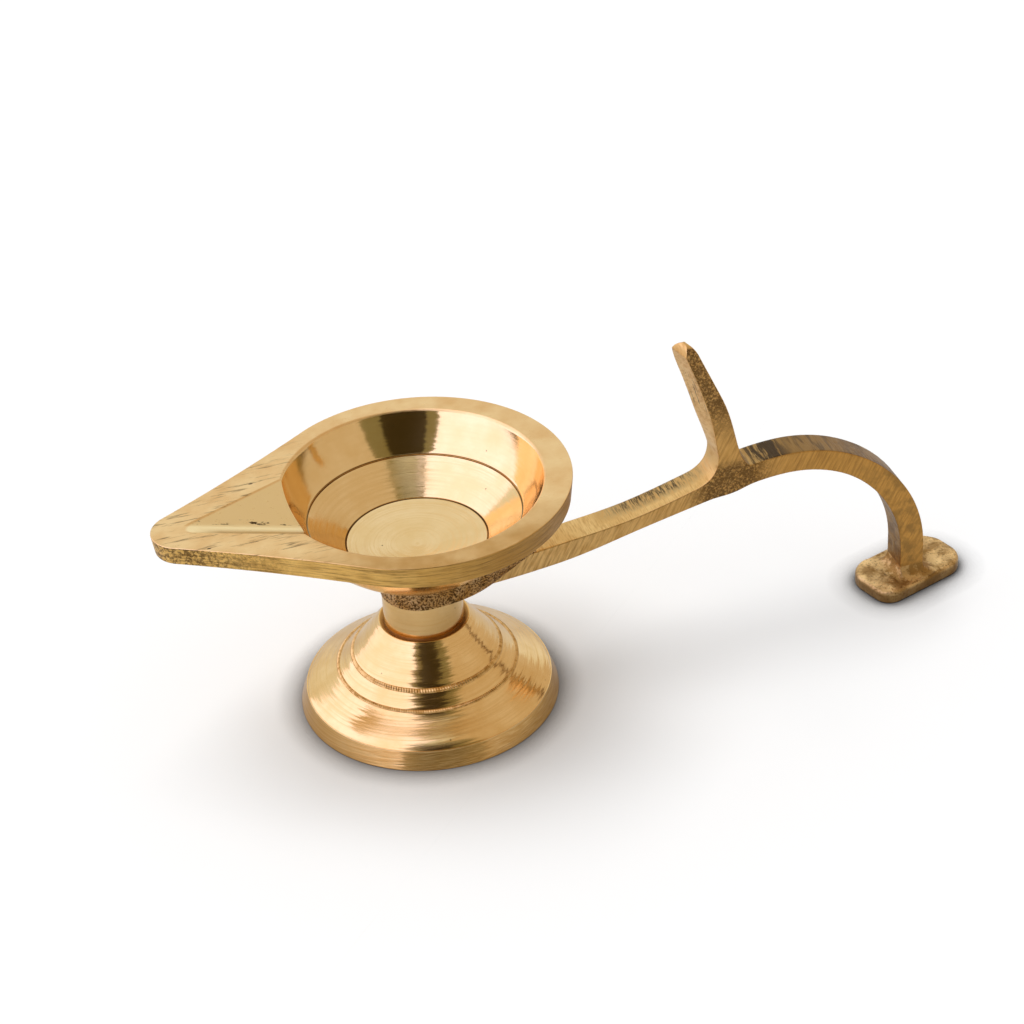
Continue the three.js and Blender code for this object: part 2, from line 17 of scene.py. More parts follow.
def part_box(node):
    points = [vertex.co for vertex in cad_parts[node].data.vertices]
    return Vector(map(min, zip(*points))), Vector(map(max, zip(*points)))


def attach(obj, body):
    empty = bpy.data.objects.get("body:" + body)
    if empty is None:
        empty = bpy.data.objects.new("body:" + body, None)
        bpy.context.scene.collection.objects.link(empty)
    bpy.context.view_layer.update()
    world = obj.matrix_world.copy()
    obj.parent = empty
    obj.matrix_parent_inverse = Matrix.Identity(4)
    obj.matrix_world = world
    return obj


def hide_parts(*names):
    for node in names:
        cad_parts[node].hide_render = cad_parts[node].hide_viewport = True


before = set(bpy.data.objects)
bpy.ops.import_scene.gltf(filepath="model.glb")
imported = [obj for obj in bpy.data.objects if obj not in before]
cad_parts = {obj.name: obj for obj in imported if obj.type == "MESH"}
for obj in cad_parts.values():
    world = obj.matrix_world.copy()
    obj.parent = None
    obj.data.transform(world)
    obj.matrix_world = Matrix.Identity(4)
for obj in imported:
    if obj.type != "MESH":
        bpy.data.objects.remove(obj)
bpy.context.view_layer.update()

print("pieces in the frame:", ", ".join(sorted(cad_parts)))

# %% [markdown]
# ## The frame of the lamp
#
# Everything turns about one upright axis, which passes through the stud. The handle
# runs along +X from it and the spout along -X.

# %% The lamp's axis and a helper for millimetres
MM = 0.001

stud_low, stud_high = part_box("stud")
AXIS_X = (stud_low.x + stud_high.x) / 2
print(f"the axis stands at x = {AXIS_X / MM:.2f} mm")

# %% [markdown]
# ## The camera
#
# The picture was taken from above the spout's side with a lens of about 93 mm on a
# full-frame sensor. A point on the axis of the lamp falls left of the middle of the
# picture, so the camera is turned aside rather than shifted.

# %% Camera
PICTURE_SIDE = 1024
FOCAL_PIXELS = 2649.0
SENSOR_WIDTH = 36.0
CAMERA_DISTANCE = 0.500
CAMERA_AZIMUTH = math.radians(-13.03)
CAMERA_ELEVATION = math.radians(35.96)
CAMERA_ROLL = math.radians(-5.16)
AIM_HEIGHT = 0.020
AIM_PIXEL = (423.0, 604.8)


def place_camera():
    data = bpy.data.cameras.new("camera")
    data.sensor_width = SENSOR_WIDTH
    data.lens = FOCAL_PIXELS * SENSOR_WIDTH / PICTURE_SIDE
    camera = bpy.data.objects.new("camera", data)
    bpy.context.scene.collection.objects.link(camera)
    back = Vector((
        math.sin(CAMERA_AZIMUTH) * math.cos(CAMERA_ELEVATION),
        -math.cos(CAMERA_AZIMUTH) * math.cos(CAMERA_ELEVATION),
        math.sin(CAMERA_ELEVATION),
    ))
    middle = PICTURE_SIDE / 2
    ray = Vector(((AIM_PIXEL[0] - middle) / FOCAL_PIXELS, (middle - AIM_PIXEL[1]) / FOCAL_PIXELS, -1))
    facing = (-back).to_track_quat("-Z", "Y")
    roll = Quaternion((0, 0, 1), CAMERA_ROLL)
    aside = ray.normalized().rotation_difference(Vector((0, 0, -1)))
    camera.rotation_mode = "QUATERNION"
    camera.rotation_quaternion = facing @ roll @ aside
    camera.location = Vector((AXIS_X, 0, AIM_HEIGHT)) + back * CAMERA_DISTANCE
    bpy.context.scene.camera = camera
    return camera


camera = place_camera()
print(f"lens {camera.data.lens:.1f} mm at {tuple(round(c, 3) for c in camera.location)}")

# %% [markdown]
# ## Making shapes
#
# Every piece is drawn in millimetres about the lamp's own axis, with the spout along
# -X, and is brought into the frame at the very end. A turned piece is an outline of
# radius and height that is spun. A cast piece is a side outline that is extruded. Arcs
# and pulled curves draw the outlines, so that a few sizes give all their points.

# %% Outlines and wires
def wire(shape, points, closed=False):
    verts = [shape.verts.new(point) for point in points]
    pairs = list(zip(verts, verts[1:]))
    if closed:
        pairs.append((verts[-1], verts[0]))
    return verts, [shape.edges.new(pair) for pair in pairs]


def arc(centre, radius, start, end, steps):
    angles = [start + (end - start) * i / steps for i in range(steps + 1)]
    return [Vector(centre) + radius * Vector((math.cos(a), math.sin(a))) for a in angles]


def curve(start, pull, end, steps=16):
    path = interpolate_bezier(start, start.lerp(pull, 2 / 3), end.lerp(pull, 2 / 3), end, steps + 1)
    return [point.to_2d() for point in path]


def bow(start, end, bulge, steps=24):
    start, end = Vector(start), Vector(end)
    along = (end - start).normalized()
    return curve(start, (start + end) / 2 + 2 * bulge * Vector((-along.y, along.x)), end, steps)


def upright(points, y=0.0):
    return [Vector((point[0], y, point[1])) for point in points]


# %% [markdown]
# ## Working on a shape
#
# `soften` rounds the corners of an outline before it is spun, `break_edges` rounds edges
# of a solid, and `turn` is the lathe. A full turn joins its last step to its first. With
# a climb at each step the same tool cuts a thread. `loft` bridges a row of closed rings
# and closes both ends.

# %% Tools of the workshop
TOUCHING = 1e-4


def bevel(shape, geom, size, segments, affect):
    bmesh.ops.bevel(
        shape, geom=geom, offset=size, segments=segments, profile=0.5, affect=affect, material=-1
    )


def soften(shape, verts, size, segments=3):
    bevel(shape, verts, size, segments, "VERTICES")


def break_edges(shape, edges, size, segments=3):
    bevel(shape, edges, size, segments, "EDGES")


def turn(shape, steps, angle=math.tau, climb=0.0):
    bmesh.ops.spin(
        shape,
        geom=shape.verts[:] + shape.edges[:],
        cent=(0, 0, 0),
        axis=(0, 0, 1),
        dvec=(0, 0, climb),
        angle=angle,
        steps=steps,
        use_merge=angle == math.tau,
    )


def loft(shape, rings):
    loops = [wire(shape, ring, closed=True)[1] for ring in rings]
    for near, far in zip(loops, loops[1:]):
        bmesh.ops.bridge_loops(shape, edges=near + far)
    bmesh.ops.contextual_create(shape, geom=loops[0])
    bmesh.ops.contextual_create(shape, geom=loops[-1])
    return shape


def resize(shape, factors):
    bmesh.ops.scale(shape, vec=factors, verts=shape.verts[:])


def swing(shape, angle):
    about_z = Matrix.Rotation(angle, 3, "Z")
    bmesh.ops.rotate(shape, cent=(0, 0, 0), matrix=about_z, verts=shape.verts[:])


def move(shape, way):
    bmesh.ops.translate(shape, vec=way, verts=shape.verts[:])


# %% [markdown]
# ## From a shape to a piece of the scene
#
# `clean` merges doubled points and turns the faces outwards. `settle` also keeps edges
# over a chosen angle crisp and brings the shape from millimetres into the frame. Broad
# faces set the shading of their corners, so that a narrow rounding doesn't make the
# whole face beside it look round.

# %% Finished pieces
def clean(shape):
    bmesh.ops.remove_doubles(shape, verts=shape.verts[:], dist=TOUCHING)
    bmesh.ops.recalc_face_normals(shape, faces=shape.faces[:])


def put_in_scene(shape, name):
    mesh = bpy.data.meshes.new(name)
    shape.to_mesh(mesh)
    shape.free()
    made = bpy.data.objects.new(name, mesh)
    bpy.context.scene.collection.objects.link(made)
    return made


def settle(shape, name, sharp_degrees=32.0):
    clean(shape)
    for face in shape.faces:
        face.smooth = True
    for edge in shape.edges:
        edge.smooth = edge.calc_face_angle(0.0) < math.radians(sharp_degrees)
    resize(shape, Vector((MM, MM, MM)))
    move(shape, Vector((AXIS_X, 0, 0)))
    piece = put_in_scene(shape, name)
    piece.modifiers.new("even_shading", "WEIGHTED_NORMAL").keep_sharp = True
    print(f"{name}: {len(piece.data.vertices)} points, {len(piece.data.polygons)} faces")
    return piece


# %% [markdown]
# ## The foot
#
# The foot is a hollow bell turned on a lathe: a tapered band at the floor, a shoulder
# that leaves the milled line like the cone and rolls over into the band, a cone, an
# undercut groove and a plain stem with the hole for the stud. One outline of radius and
# height is spun, as the lathe does it. Its corners are softened in the outline, which is
# cheaper than a bevel round the finished bell. A burr, as fine as a hair, stands where
# the shoulder meets the band.

# %% Sizes of the bell
FOOT_RADIUS = 24.85
BAND_HEIGHT = 3.5
BAND_TAPER = 1.4
SHOULDER_HEIGHT = 7.9
SHOULDER_RADIUS = 17.1
SHOULDER_LEAVES_LINE = 3.2
SHOULDER_MEETS_BAND = 1.3
SHOULDER_TOP_SLOPE = math.radians(40)
SHOULDER_ROLL_SLOPE = math.radians(57)
SHOULDER_STEPS = 32
BURR_RADIUS = 0.13
BURR_START = math.radians(-40)
BURR_END = math.radians(100)
BURR_STEPS = 6
CONE_FOOT_HEIGHT = 10.5
CONE_FOOT_RADIUS = 14.2
CONE_TOP_HEIGHT = 17.7
CONE_TOP_RADIUS = 8.6
GROOVE_DEPTH = 0.8
STEM_RADIUS = 7.6
STEM_TOP = 24.3
FOOT_WALL = 2.7
STUD_HOLE_RADIUS = 4.05
STUD_HOLE_FLOOR = 16.8
HOLLOW_TOP = STUD_HOLE_FLOOR - FOOT_WALL
HOLLOW_EDGE = 0.4
FLOOR_EDGE = 0.25
CONE_EDGE = 0.15
STEM_EDGE = 0.2
BELL_STEPS = 288

band_top = Vector((FOOT_RADIUS - BAND_TAPER, BAND_HEIGHT))
lower_line = Vector((SHOULDER_RADIUS, SHOULDER_HEIGHT))
upper_line = Vector((CONE_FOOT_RADIUS, CONE_FOOT_HEIGHT))
cone_top = Vector((CONE_TOP_RADIUS, CONE_TOP_HEIGHT))
print(f"foot: {2 * FOOT_RADIUS} mm wide and {STEM_TOP} mm high")


# %% The turned bell
def shoulder_line():
    down = Vector((math.cos(SHOULDER_TOP_SLOPE), -math.sin(SHOULDER_TOP_SLOPE)))
    up = Vector((-math.cos(SHOULDER_ROLL_SLOPE), math.sin(SHOULDER_ROLL_SLOPE)))
    leave = lower_line + SHOULDER_LEAVES_LINE * down
    meet = band_top + SHOULDER_MEETS_BAND * up
    line = interpolate_bezier(band_top, meet, leave, lower_line, SHOULDER_STEPS + 1)
    return [point.to_2d() for point in line]


def bell_outline():
    hollow = [
        (0, HOLLOW_TOP),
        (CONE_TOP_RADIUS - FOOT_WALL, HOLLOW_TOP),
        (CONE_FOOT_RADIUS - FOOT_WALL, CONE_FOOT_HEIGHT - FOOT_WALL / 2),
        (SHOULDER_RADIUS - FOOT_WALL / 2, SHOULDER_HEIGHT - FOOT_WALL),
        (FOOT_RADIUS - FOOT_WALL - BAND_TAPER / 2, BAND_HEIGHT - FOOT_WALL / 2),
        (FOOT_RADIUS - FOOT_WALL, 0),
    ]
    stem = [
        (STEM_RADIUS, CONE_TOP_HEIGHT - GROOVE_DEPTH),
        (STEM_RADIUS, STEM_TOP),
        (STUD_HOLE_RADIUS, STEM_TOP),
        (STUD_HOLE_RADIUS, STUD_HOLE_FLOOR),
        (0, STUD_HOLE_FLOOR),
    ]
    corners = {
        (FOOT_RADIUS - FOOT_WALL, 0): HOLLOW_EDGE,
        (FOOT_RADIUS, 0): FLOOR_EDGE,
        tuple(cone_top): CONE_EDGE,
        (STEM_RADIUS, STEM_TOP): STEM_EDGE,
    }
    burr = arc(band_top, BURR_RADIUS, BURR_START, BURR_END, BURR_STEPS)
    outside = [(FOOT_RADIUS, 0)] + burr + shoulder_line()[1:] + [upper_line, cone_top]
    return hollow + outside + stem, corners


def make_foot():
    shape = bmesh.new()
    points, corners = bell_outline()
    wire(shape, upright(points))
    for (radius, height), size in corners.items():
        corner = Vector((radius, 0, height))
        nearest = min((v for v in shape.verts if v.is_valid), key=lambda v: (v.co - corner).length)
        soften(shape, [nearest], size)
    turn(shape, BELL_STEPS)
    return settle(shape, "turned_foot")


foot = make_foot()
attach(foot, "foot")
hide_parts("foot")

# %% [markdown]
# ## The milled lines
#
# Two raised lines run round the bell. A knurling wheel has pressed slanting teeth into
# them, so they look like fine rope. Each line is a low rounded bead that is spun in
# four steps to a tooth, and then every point of its crown is let down by a wave.

# %% Two lines of pressed teeth
MILLED_LINES = {
    "lower": {"at": lower_line, "before": band_top, "after": upper_line, "half": 0.36, "teeth": 236},
    "upper": {"at": upper_line, "before": lower_line, "after": cone_top, "half": 0.5, "teeth": 176},
}
BEAD_RISE = 0.27
BEAD_STEPS = 8
TOOTH_DEPTH = 0.17
TOOTH_SLANT = 1.2
STEPS_TO_A_TOOTH = 4
CROWN_STARTS = 0.3


def make_milled_line(name, at, before, after, half, teeth):
    along = (after - before).normalized()
    out = Vector((along.y, -along.x))
    angles = [math.pi * i / BEAD_STEPS for i in range(BEAD_STEPS + 1)]
    crown = [at - along * half * math.cos(a) + out * BEAD_RISE * math.sin(a) for a in angles]
    shape = bmesh.new()
    wire(shape, upright(crown + [at - out * BEAD_RISE]), closed=True)
    turn(shape, STEPS_TO_A_TOOTH * teeth)
    for vert in shape.verts:
        place = Vector((math.hypot(vert.co.x, vert.co.y), vert.co.z)) - at
        height = place.dot(out)
        if height > CROWN_STARTS * BEAD_RISE:
            turned = math.atan2(vert.co.y, vert.co.x)
            wave = 0.5 + 0.5 * math.cos(teeth * turned + TOOTH_SLANT * place.dot(along) / half)
            sink = out * (-TOOTH_DEPTH * wave * height / BEAD_RISE)
            vert.co += Vector((sink.x * math.cos(turned), sink.x * math.sin(turned), sink.y))
    line = settle(shape, f"{name}_milled_line", sharp_degrees=60)
    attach(line, "foot")
    return line


milled_lines = [make_milled_line(name, **line) for name, line in MILLED_LINES.items()]


# %% [markdown]
# ## The stud
#
# The stud is a length of screwed rod. Its thread is a V outline of one pitch that is
# spun while it climbs, as a screw is cut. The doubled points where one turn meets the
# next are merged, and both ends are cut square and closed.

# %% The threaded rod
STUD_RADIUS = 4.0
THREAD_PITCH = 1.25
THREAD_DEPTH = 0.7
THREAD_CREST = 0.16
STUD_LOW = 17.3
STUD_HIGH = 31.8
THREAD_STEPS = 60
SPARE_TURNS = 2
THREAD_TOUCHING = 1e-3
STUD_CUT = 1e-5


def make_stud():
    shape = bmesh.new()
    root = STUD_RADIUS - THREAD_DEPTH
    start = STUD_LOW - SPARE_TURNS * THREAD_PITCH
    tooth = [
        (root, start),
        (STUD_RADIUS, start + THREAD_PITCH / 2 - THREAD_CREST / 2),
        (STUD_RADIUS, start + THREAD_PITCH / 2 + THREAD_CREST / 2),
        (root, start + THREAD_PITCH),
    ]
    wire(shape, upright(tooth))
    turns = math.ceil((STUD_HIGH - STUD_LOW) / THREAD_PITCH) + 2 * SPARE_TURNS
    turn(shape, THREAD_STEPS * turns, angle=math.tau * turns, climb=THREAD_PITCH / THREAD_STEPS)
    bmesh.ops.remove_doubles(shape, verts=shape.verts[:], dist=THREAD_TOUCHING)
    for height, direction in ((STUD_LOW, -1), (STUD_HIGH, 1)):
        cut = bmesh.ops.bisect_plane(
            shape,
            geom=shape.verts[:] + shape.edges[:] + shape.faces[:],
            dist=STUD_CUT,
            plane_co=(0, 0, height),
            plane_no=(0, 0, direction),
            clear_outer=True,
        )
        ring = [item for item in cut["geom_cut"] if isinstance(item, bmesh.types.BMEdge)]
        bmesh.ops.edgeloop_fill(shape, edges=ring)
    return settle(shape, "threaded_stud", sharp_degrees=25)


stud = make_stud()
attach(stud, "bowl")
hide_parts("stud")


# %% [markdown]
# ## The handle
#
# The handle is one sand casting that was cleaned up with a file. The strap, the thumb
# rest, the arch and the leg share one side outline. The strap's middle line comes first:
# a rise to the arch's crest and then a quarter circle down to the leg. Its thickness
# changes slowly along it, so both sides are the middle line moved out by half of it.

# %% Side outline of the strap
EYE_BOTTOM = STEM_TOP
EYE_THICKNESS = 4.2
EYE_TOP = EYE_BOTTOM + EYE_THICKNESS
STRAP_WIDTH = 6.3
STRAP_ROOT_THICKNESS = 4.2
WAIST_THICKNESS = 3.0
CREST_THICKNESS = 4.25
LEG_THICKNESS = 4.9
STRAP_ROOT_END_X = 26.0
WAIST_X = 43.0
CREST_START_X = 66.0
LEG_SWELL_START_X = 84.0
SAG_START_X = 56.0
SAG_END_X = 66.0
SAG = 0.45
STRAP_START = Vector((10.5, 25.4))
ARCH_CREST = Vector((72.5, 35.6))
ARCH_RADIUS = 26.9
RISE_PULL = Vector((44.0, 27.0))
RISE_PULL_NEAR_CREST = 14.5
PAD_THICKNESS = 2.6
LEG_X = ARCH_CREST.x + ARCH_RADIUS
RISE_STEPS = 60
ARCH_STEPS = 70


def strap_middle():
    near_crest = ARCH_CREST - Vector((RISE_PULL_NEAR_CREST, 0))
    rise = interpolate_bezier(STRAP_START, RISE_PULL, near_crest, ARCH_CREST, RISE_STEPS)
    centre = ARCH_CREST - Vector((0, ARCH_RADIUS))
    arch = arc(centre, ARCH_RADIUS, math.pi / 2, 0, ARCH_STEPS)[1:]
    return [p.to_2d() for p in rise] + arch + [Vector((LEG_X, PAD_THICKNESS / 2))]


def smooth_share(value, low, high):
    share = min(max((value - low) / (high - low), 0), 1)
    return share * share * (3 - 2 * share)


def strap_thickness(x):
    waist = (WAIST_THICKNESS - STRAP_ROOT_THICKNESS) * smooth_share(x, STRAP_ROOT_END_X, WAIST_X)
    crest = (CREST_THICKNESS - WAIST_THICKNESS) * smooth_share(x, WAIST_X, CREST_START_X)
    leg = (LEG_THICKNESS - CREST_THICKNESS) * smooth_share(x, LEG_SWELL_START_X, LEG_X)
    return STRAP_ROOT_THICKNESS + waist + crest + leg


def sag(x):
    share = min(max((x - SAG_START_X) / (SAG_END_X - SAG_START_X), 0), 1)
    return SAG * math.sin(math.pi * share) ** 2


def strap_side(middle, sign):
    side = []
    for i, here in enumerate(middle):
        along = (middle[min(i + 1, len(middle) - 1)] - middle[max(i - 1, 0)]).normalized()
        offset = strap_thickness(here.x) / 2 + (sag(here.x) if sign < 0 else 0)
        side.append(here + Vector((-along.y, along.x)) * sign * offset)
    return side


def height_at(line, x):
    for a, b in zip(line, line[1:]):
        if a.x <= x <= b.x:
            return a.y + (b.y - a.y) * (x - a.x) / (b.x - a.x)


strap_line = strap_middle()
strap_length = sum((b - a).length for a, b in zip(strap_line, strap_line[1:]))
print(f"strap: {strap_length:.1f} mm long")

# %% [markdown]
# ## The thumb rest
#
# The thumb rest stands up from the strap, leans towards the bowl and ends in a blunt
# tip. Its slightly hollow front, the knee at its back and the fillets at its root are
# short curves that take the place of a piece of the strap's upper side.

# %% Side outline of the thumb rest
REST_TOP = 65.6
REST_TIP_RISE = 2.0
REST_TIP_FORWARD = 0.5
REST_FRONT = Vector((58.7, 40.5))
REST_FILLET = 4.7
REST_LEAN = 6.8
REST_ROOT_THICKNESS = 4.3
REST_KNEE_HEIGHT = 52.0
REST_KNEE_THICKNESS = 4.15
REST_TIP_THICKNESS = 2.5
REST_FRONT_HOLLOW = 0.5
REST_BACK_FILLET = 2.4
KNEE_STARTS = 0.85
KNEE_ENDS = 0.2
KNEE_STEPS = 8
LEAST_GAP = 0.1


def handle_outline():
    middle = strap_middle()
    upper, lower = strap_side(middle, 1), strap_side(middle, -1)
    toe = Vector((REST_FRONT.x - REST_FILLET, height_at(upper, REST_FRONT.x - REST_FILLET)))
    corner = Vector((REST_FRONT.x, height_at(upper, REST_FRONT.x)))
    shoulder = Vector((REST_FRONT.x - REST_LEAN, REST_TOP - REST_TIP_RISE))
    back = shoulder + Vector((REST_TIP_THICKNESS, 0))
    peak = Vector(((shoulder.x + back.x) / 2 - REST_TIP_FORWARD, REST_TOP + REST_TIP_RISE))
    knee_share = (REST_KNEE_HEIGHT - REST_FRONT.y) / (shoulder.y - REST_FRONT.y)
    knee = REST_FRONT.lerp(shoulder, knee_share) + Vector((REST_KNEE_THICKNESS, 0))
    root = REST_FRONT + Vector((REST_ROOT_THICKNESS, 0))
    heel = Vector((root.x + REST_BACK_FILLET, height_at(upper, root.x + REST_BACK_FILLET)))
    back_corner = knee.lerp(root, (knee.y - heel.y) / (knee.y - root.y))
    rest = curve(toe, corner, REST_FRONT)
    rest += bow(REST_FRONT, shoulder, -REST_FRONT_HOLLOW)[1:-1]
    rest += curve(shoulder, peak, back)
    rest += curve(back.lerp(knee, KNEE_STARTS), knee, knee.lerp(root, KNEE_ENDS), KNEE_STEPS)
    rest += curve(root, back_corner, heel)
    before = [p for p in upper if p.x < toe.x - LEAST_GAP]
    after = [p for p in upper if p.x > heel.x + LEAST_GAP or p.y < EYE_BOTTOM]
    return before + rest + after + list(reversed(lower))


print(f"the side outline of the handle has {len(handle_outline())} points")

# %% [markdown]
# ## The strap, the rest and the leg as one solid
#
# The side outline is extruded to the strap's width and its long edges are broken. Then
# it is cut into small squares with planes, so that its points can be moved by a rule.
# The rest is skewed, with its far side nearer to the bowl, and its upper end is drawn in
# to a peak whose far side falls lower than its near side.

# %% Strap, thumb rest and leg in one
EDGE_BREAK = 0.2
SQUARE = 0.7
REST_PEAK_Y = -1.3
REST_NEAR_END_LENGTH = 2.2
REST_FAR_END_LENGTH = 7.4
REST_SKEW = math.tan(math.radians(12.5))
REST_SKEW_START = 39.0
REST_SKEW_END = 50.0
REST_TIP_BLUNTNESS = 0.03


def cut_into_squares(shape, axis, low, high, size):
    normal = Vector((0, 0, 0))
    normal[axis] = 1
    for i in range(1, math.ceil((high - low) / size)):
        place = normal * (low + i * size)
        geom = shape.verts[:] + shape.edges[:] + shape.faces[:]
        bmesh.ops.bisect_plane(shape, geom=geom, dist=TOUCHING, plane_co=place, plane_no=normal)


def rest_edge(side, height):
    length = REST_FAR_END_LENGTH if side > 0 else REST_NEAR_END_LENGTH
    share = max(1 - (REST_TOP - height) / length, 0)
    straight = side * STRAP_WIDTH / 2
    return REST_PEAK_Y + (straight - REST_PEAK_Y) * math.sqrt(max(1 - share * share, REST_TIP_BLUNTNESS))


def shape_thumb_rest(shape):
    for vert in shape.verts:
        height = vert.co.z
        if height > REST_TOP - REST_FAR_END_LENGTH:
            near, far = rest_edge(-1, height), rest_edge(1, height)
            vert.co.y = near + (far - near) * (vert.co.y / STRAP_WIDTH + 0.5)
        vert.co.x -= vert.co.y * REST_SKEW * smooth_share(height, REST_SKEW_START, REST_SKEW_END)


def make_strap():
    shape = bmesh.new()
    outline = handle_outline()
    _, edges = wire(shape, upright(outline, -STRAP_WIDTH / 2), closed=True)
    face = bmesh.ops.contextual_create(shape, geom=edges)["faces"][0]
    grown = bmesh.ops.extrude_face_region(shape, geom=[face])["geom"]
    moved = [item for item in grown if isinstance(item, bmesh.types.BMVert)]
    bmesh.ops.translate(shape, vec=(0, STRAP_WIDTH, 0), verts=moved)
    sides = [f for f in shape.faces if len(f.verts) > 4]
    long_edges = list(dict.fromkeys(edge for side in sides for edge in side.edges))
    break_edges(shape, long_edges, EDGE_BREAK)
    cut_into_squares(shape, 0, STRAP_START.x, LEG_X + LEG_THICKNESS, SQUARE)
    cut_into_squares(shape, 2, 0, REST_TOP, SQUARE)
    cut_into_squares(shape, 1, -STRAP_WIDTH / 2, STRAP_WIDTH / 2, SQUARE)
    shape_thumb_rest(shape)
    return shape


casting = make_strap()
print(f"strap, rest and leg: {len(casting.verts)} points")

# %% [markdown]
# ## Eye and neck
#
# The eye that the stud passes through was left as it came from the sand, and so was the
# neck. They are made apart, cut into finer squares and pushed in and out by noise, but
# stay plain where the foot, the bowl and the stud touch them. The neck runs into the
# strap, as it does in the casting. Each part of the casting notes its own finish.

# %% Eye and neck
EYE_RADIUS = 7.75
EYE_HOLE_RADIUS = 4.3
NECK_PULL_X = 8.5
NECK_BOTTOM_END_X = 14.5
NECK_TOP_END_X = 22.0
NECK_STEPS = 40
EYE_STEPS = 96
GRAIN = 0.35
GRAIN_SIZE = 0.55
GRAIN_DEPTH = 0.16
STACK_CLEARANCE = 0.5
STRAP_SIDE, CAST, PAD, STRAP_TOP = range(4)


def wave(shape, amount, size, share):
    shape.normal_update()
    for vert in shape.verts:
        push = noise.noise(vert.co / size) * amount * share(vert.co)
        vert.co += vert.normal * push


def free_of_the_stack(place):
    hole, side = EYE_HOLE_RADIUS + 2 * STACK_CLEARANCE, EYE_RADIUS - STACK_CLEARANCE
    inner = smooth_share(place.xy.length, hole, side)
    low = smooth_share(place.z, EYE_BOTTOM, EYE_BOTTOM + STACK_CLEARANCE)
    high = smooth_share(place.z, EYE_TOP, EYE_TOP - STACK_CLEARANCE)
    return inner * low * high


def join(shape, part, finish):
    for face in part.faces:
        face.material_index = finish
    mesh = bpy.data.meshes.new("part")
    part.to_mesh(mesh)
    part.free()
    shape.from_mesh(mesh)
    bpy.data.meshes.remove(mesh)


def eye_level(end_x, height):
    start, pull = Vector((0, EYE_RADIUS)), Vector((NECK_PULL_X, EYE_RADIUS))
    far_side = curve(start, pull, Vector((end_x, STRAP_WIDTH / 2 - EDGE_BREAK)), NECK_STEPS)
    near_side = [Vector((p.x, -p.y)) for p in reversed(far_side)]
    back = arc((0, 0), EYE_RADIUS, -math.pi / 2, -3 * math.pi / 2, EYE_STEPS)[1:-1]
    return [Vector((p.x, p.y, height)) for p in far_side + near_side + back]


def stud_hole_edge(height):
    ring = arc((0, 0), EYE_HOLE_RADIUS, 0, math.tau, EYE_STEPS)[:-1]
    return [Vector((p.x, p.y, height)) for p in ring]


def add_eye(shape):
    eye = bmesh.new()
    levels = ((NECK_BOTTOM_END_X, EYE_BOTTOM), (NECK_TOP_END_X, EYE_TOP))
    outside = [wire(eye, eye_level(*level), closed=True)[1] for level in levels]
    hole = [wire(eye, stud_hole_edge(height), closed=True)[1] for _, height in levels]
    bmesh.ops.bridge_loops(eye, edges=outside[0] + outside[1])
    bmesh.ops.bridge_loops(eye, edges=hole[0] + hole[1])
    for edges in zip(outside, hole):
        bmesh.ops.triangle_fill(eye, edges=edges[0] + edges[1], use_beauty=True)
    bmesh.ops.recalc_face_normals(eye, faces=eye.faces[:])
    cut_into_squares(eye, 2, EYE_BOTTOM, EYE_TOP, GRAIN)
    cut_into_squares(eye, 0, EYE_HOLE_RADIUS, NECK_TOP_END_X, GRAIN)
    wave(eye, GRAIN_DEPTH, GRAIN_SIZE, free_of_the_stack)
    join(shape, eye, CAST)


add_eye(casting)
print(f"with the eye and the neck: {len(casting.verts)} points")

# %% [markdown]
# ## Pad and fillet
#
# The leg ends in a flat pad that stands a little turned and aside from it. Three of its
# corners are round and one is squarer. Noise gives its top the dents of the sand. The
# fillet between leg and pad is a stack of rounded outlines that turn from the one to the
# other, and neighbours in the stack are bridged.

# %% Pad and its fillet
PAD_LENGTH = 21.8
PAD_WIDTH = 12.7
PAD_OFFSET = Vector((0.9, 0.9, 0))
PAD_CORNER = 5.0
PAD_SQUARE_CORNER = 3.4
PAD_DENT = 0.22
PAD_DENT_SIZE = 2.6
PAD_EDGE = 0.7
PAD_CORNER_STEPS = 10
PAD_SQUARE_CORNER_STEPS = 8
PAD_DENTED_LAYER = 0.4
PAD_TURN = math.radians(18)
PAD_FILLET = 2.4
FILLET_STEPS = 8
FILLET_CORNER_STEPS = 6
FILLET_SINK = 0.02


def pad_dents(place):
    return smooth_share(place.z, PAD_THICKNESS - PAD_DENTED_LAYER, PAD_THICKNESS)


def add_pad(shape):
    pad = bmesh.new()
    bmesh.ops.create_cube(pad, size=1)
    resize(pad, (PAD_LENGTH, PAD_WIDTH, PAD_THICKNESS))
    move(pad, (0, 0, PAD_THICKNESS / 2))
    upright_edges = [e for e in pad.edges if abs(e.verts[0].co.z - e.verts[1].co.z) > 1]
    square_corner = min(upright_edges, key=lambda e: e.verts[0].co.x + e.verts[0].co.y)
    upright_edges.remove(square_corner)
    break_edges(pad, upright_edges, PAD_CORNER, PAD_CORNER_STEPS)
    break_edges(pad, [square_corner], PAD_SQUARE_CORNER, PAD_SQUARE_CORNER_STEPS)
    for height, size in ((PAD_THICKNESS, PAD_EDGE), (0, PAD_EDGE / 2)):
        level = [e for e in pad.edges if all(abs(v.co.z - height) < TOUCHING for v in e.verts)]
        break_edges(pad, [e for e in level if e.calc_face_angle(0) > 1], size)
    cut_into_squares(pad, 0, -PAD_LENGTH / 2, PAD_LENGTH / 2, SQUARE)
    cut_into_squares(pad, 1, -PAD_WIDTH / 2, PAD_WIDTH / 2, SQUARE)
    swing(pad, PAD_TURN)
    move(pad, Vector((LEG_X, 0, 0)) + PAD_OFFSET)
    wave(pad, PAD_DENT, PAD_DENT_SIZE, pad_dents)
    join(shape, pad, PAD)


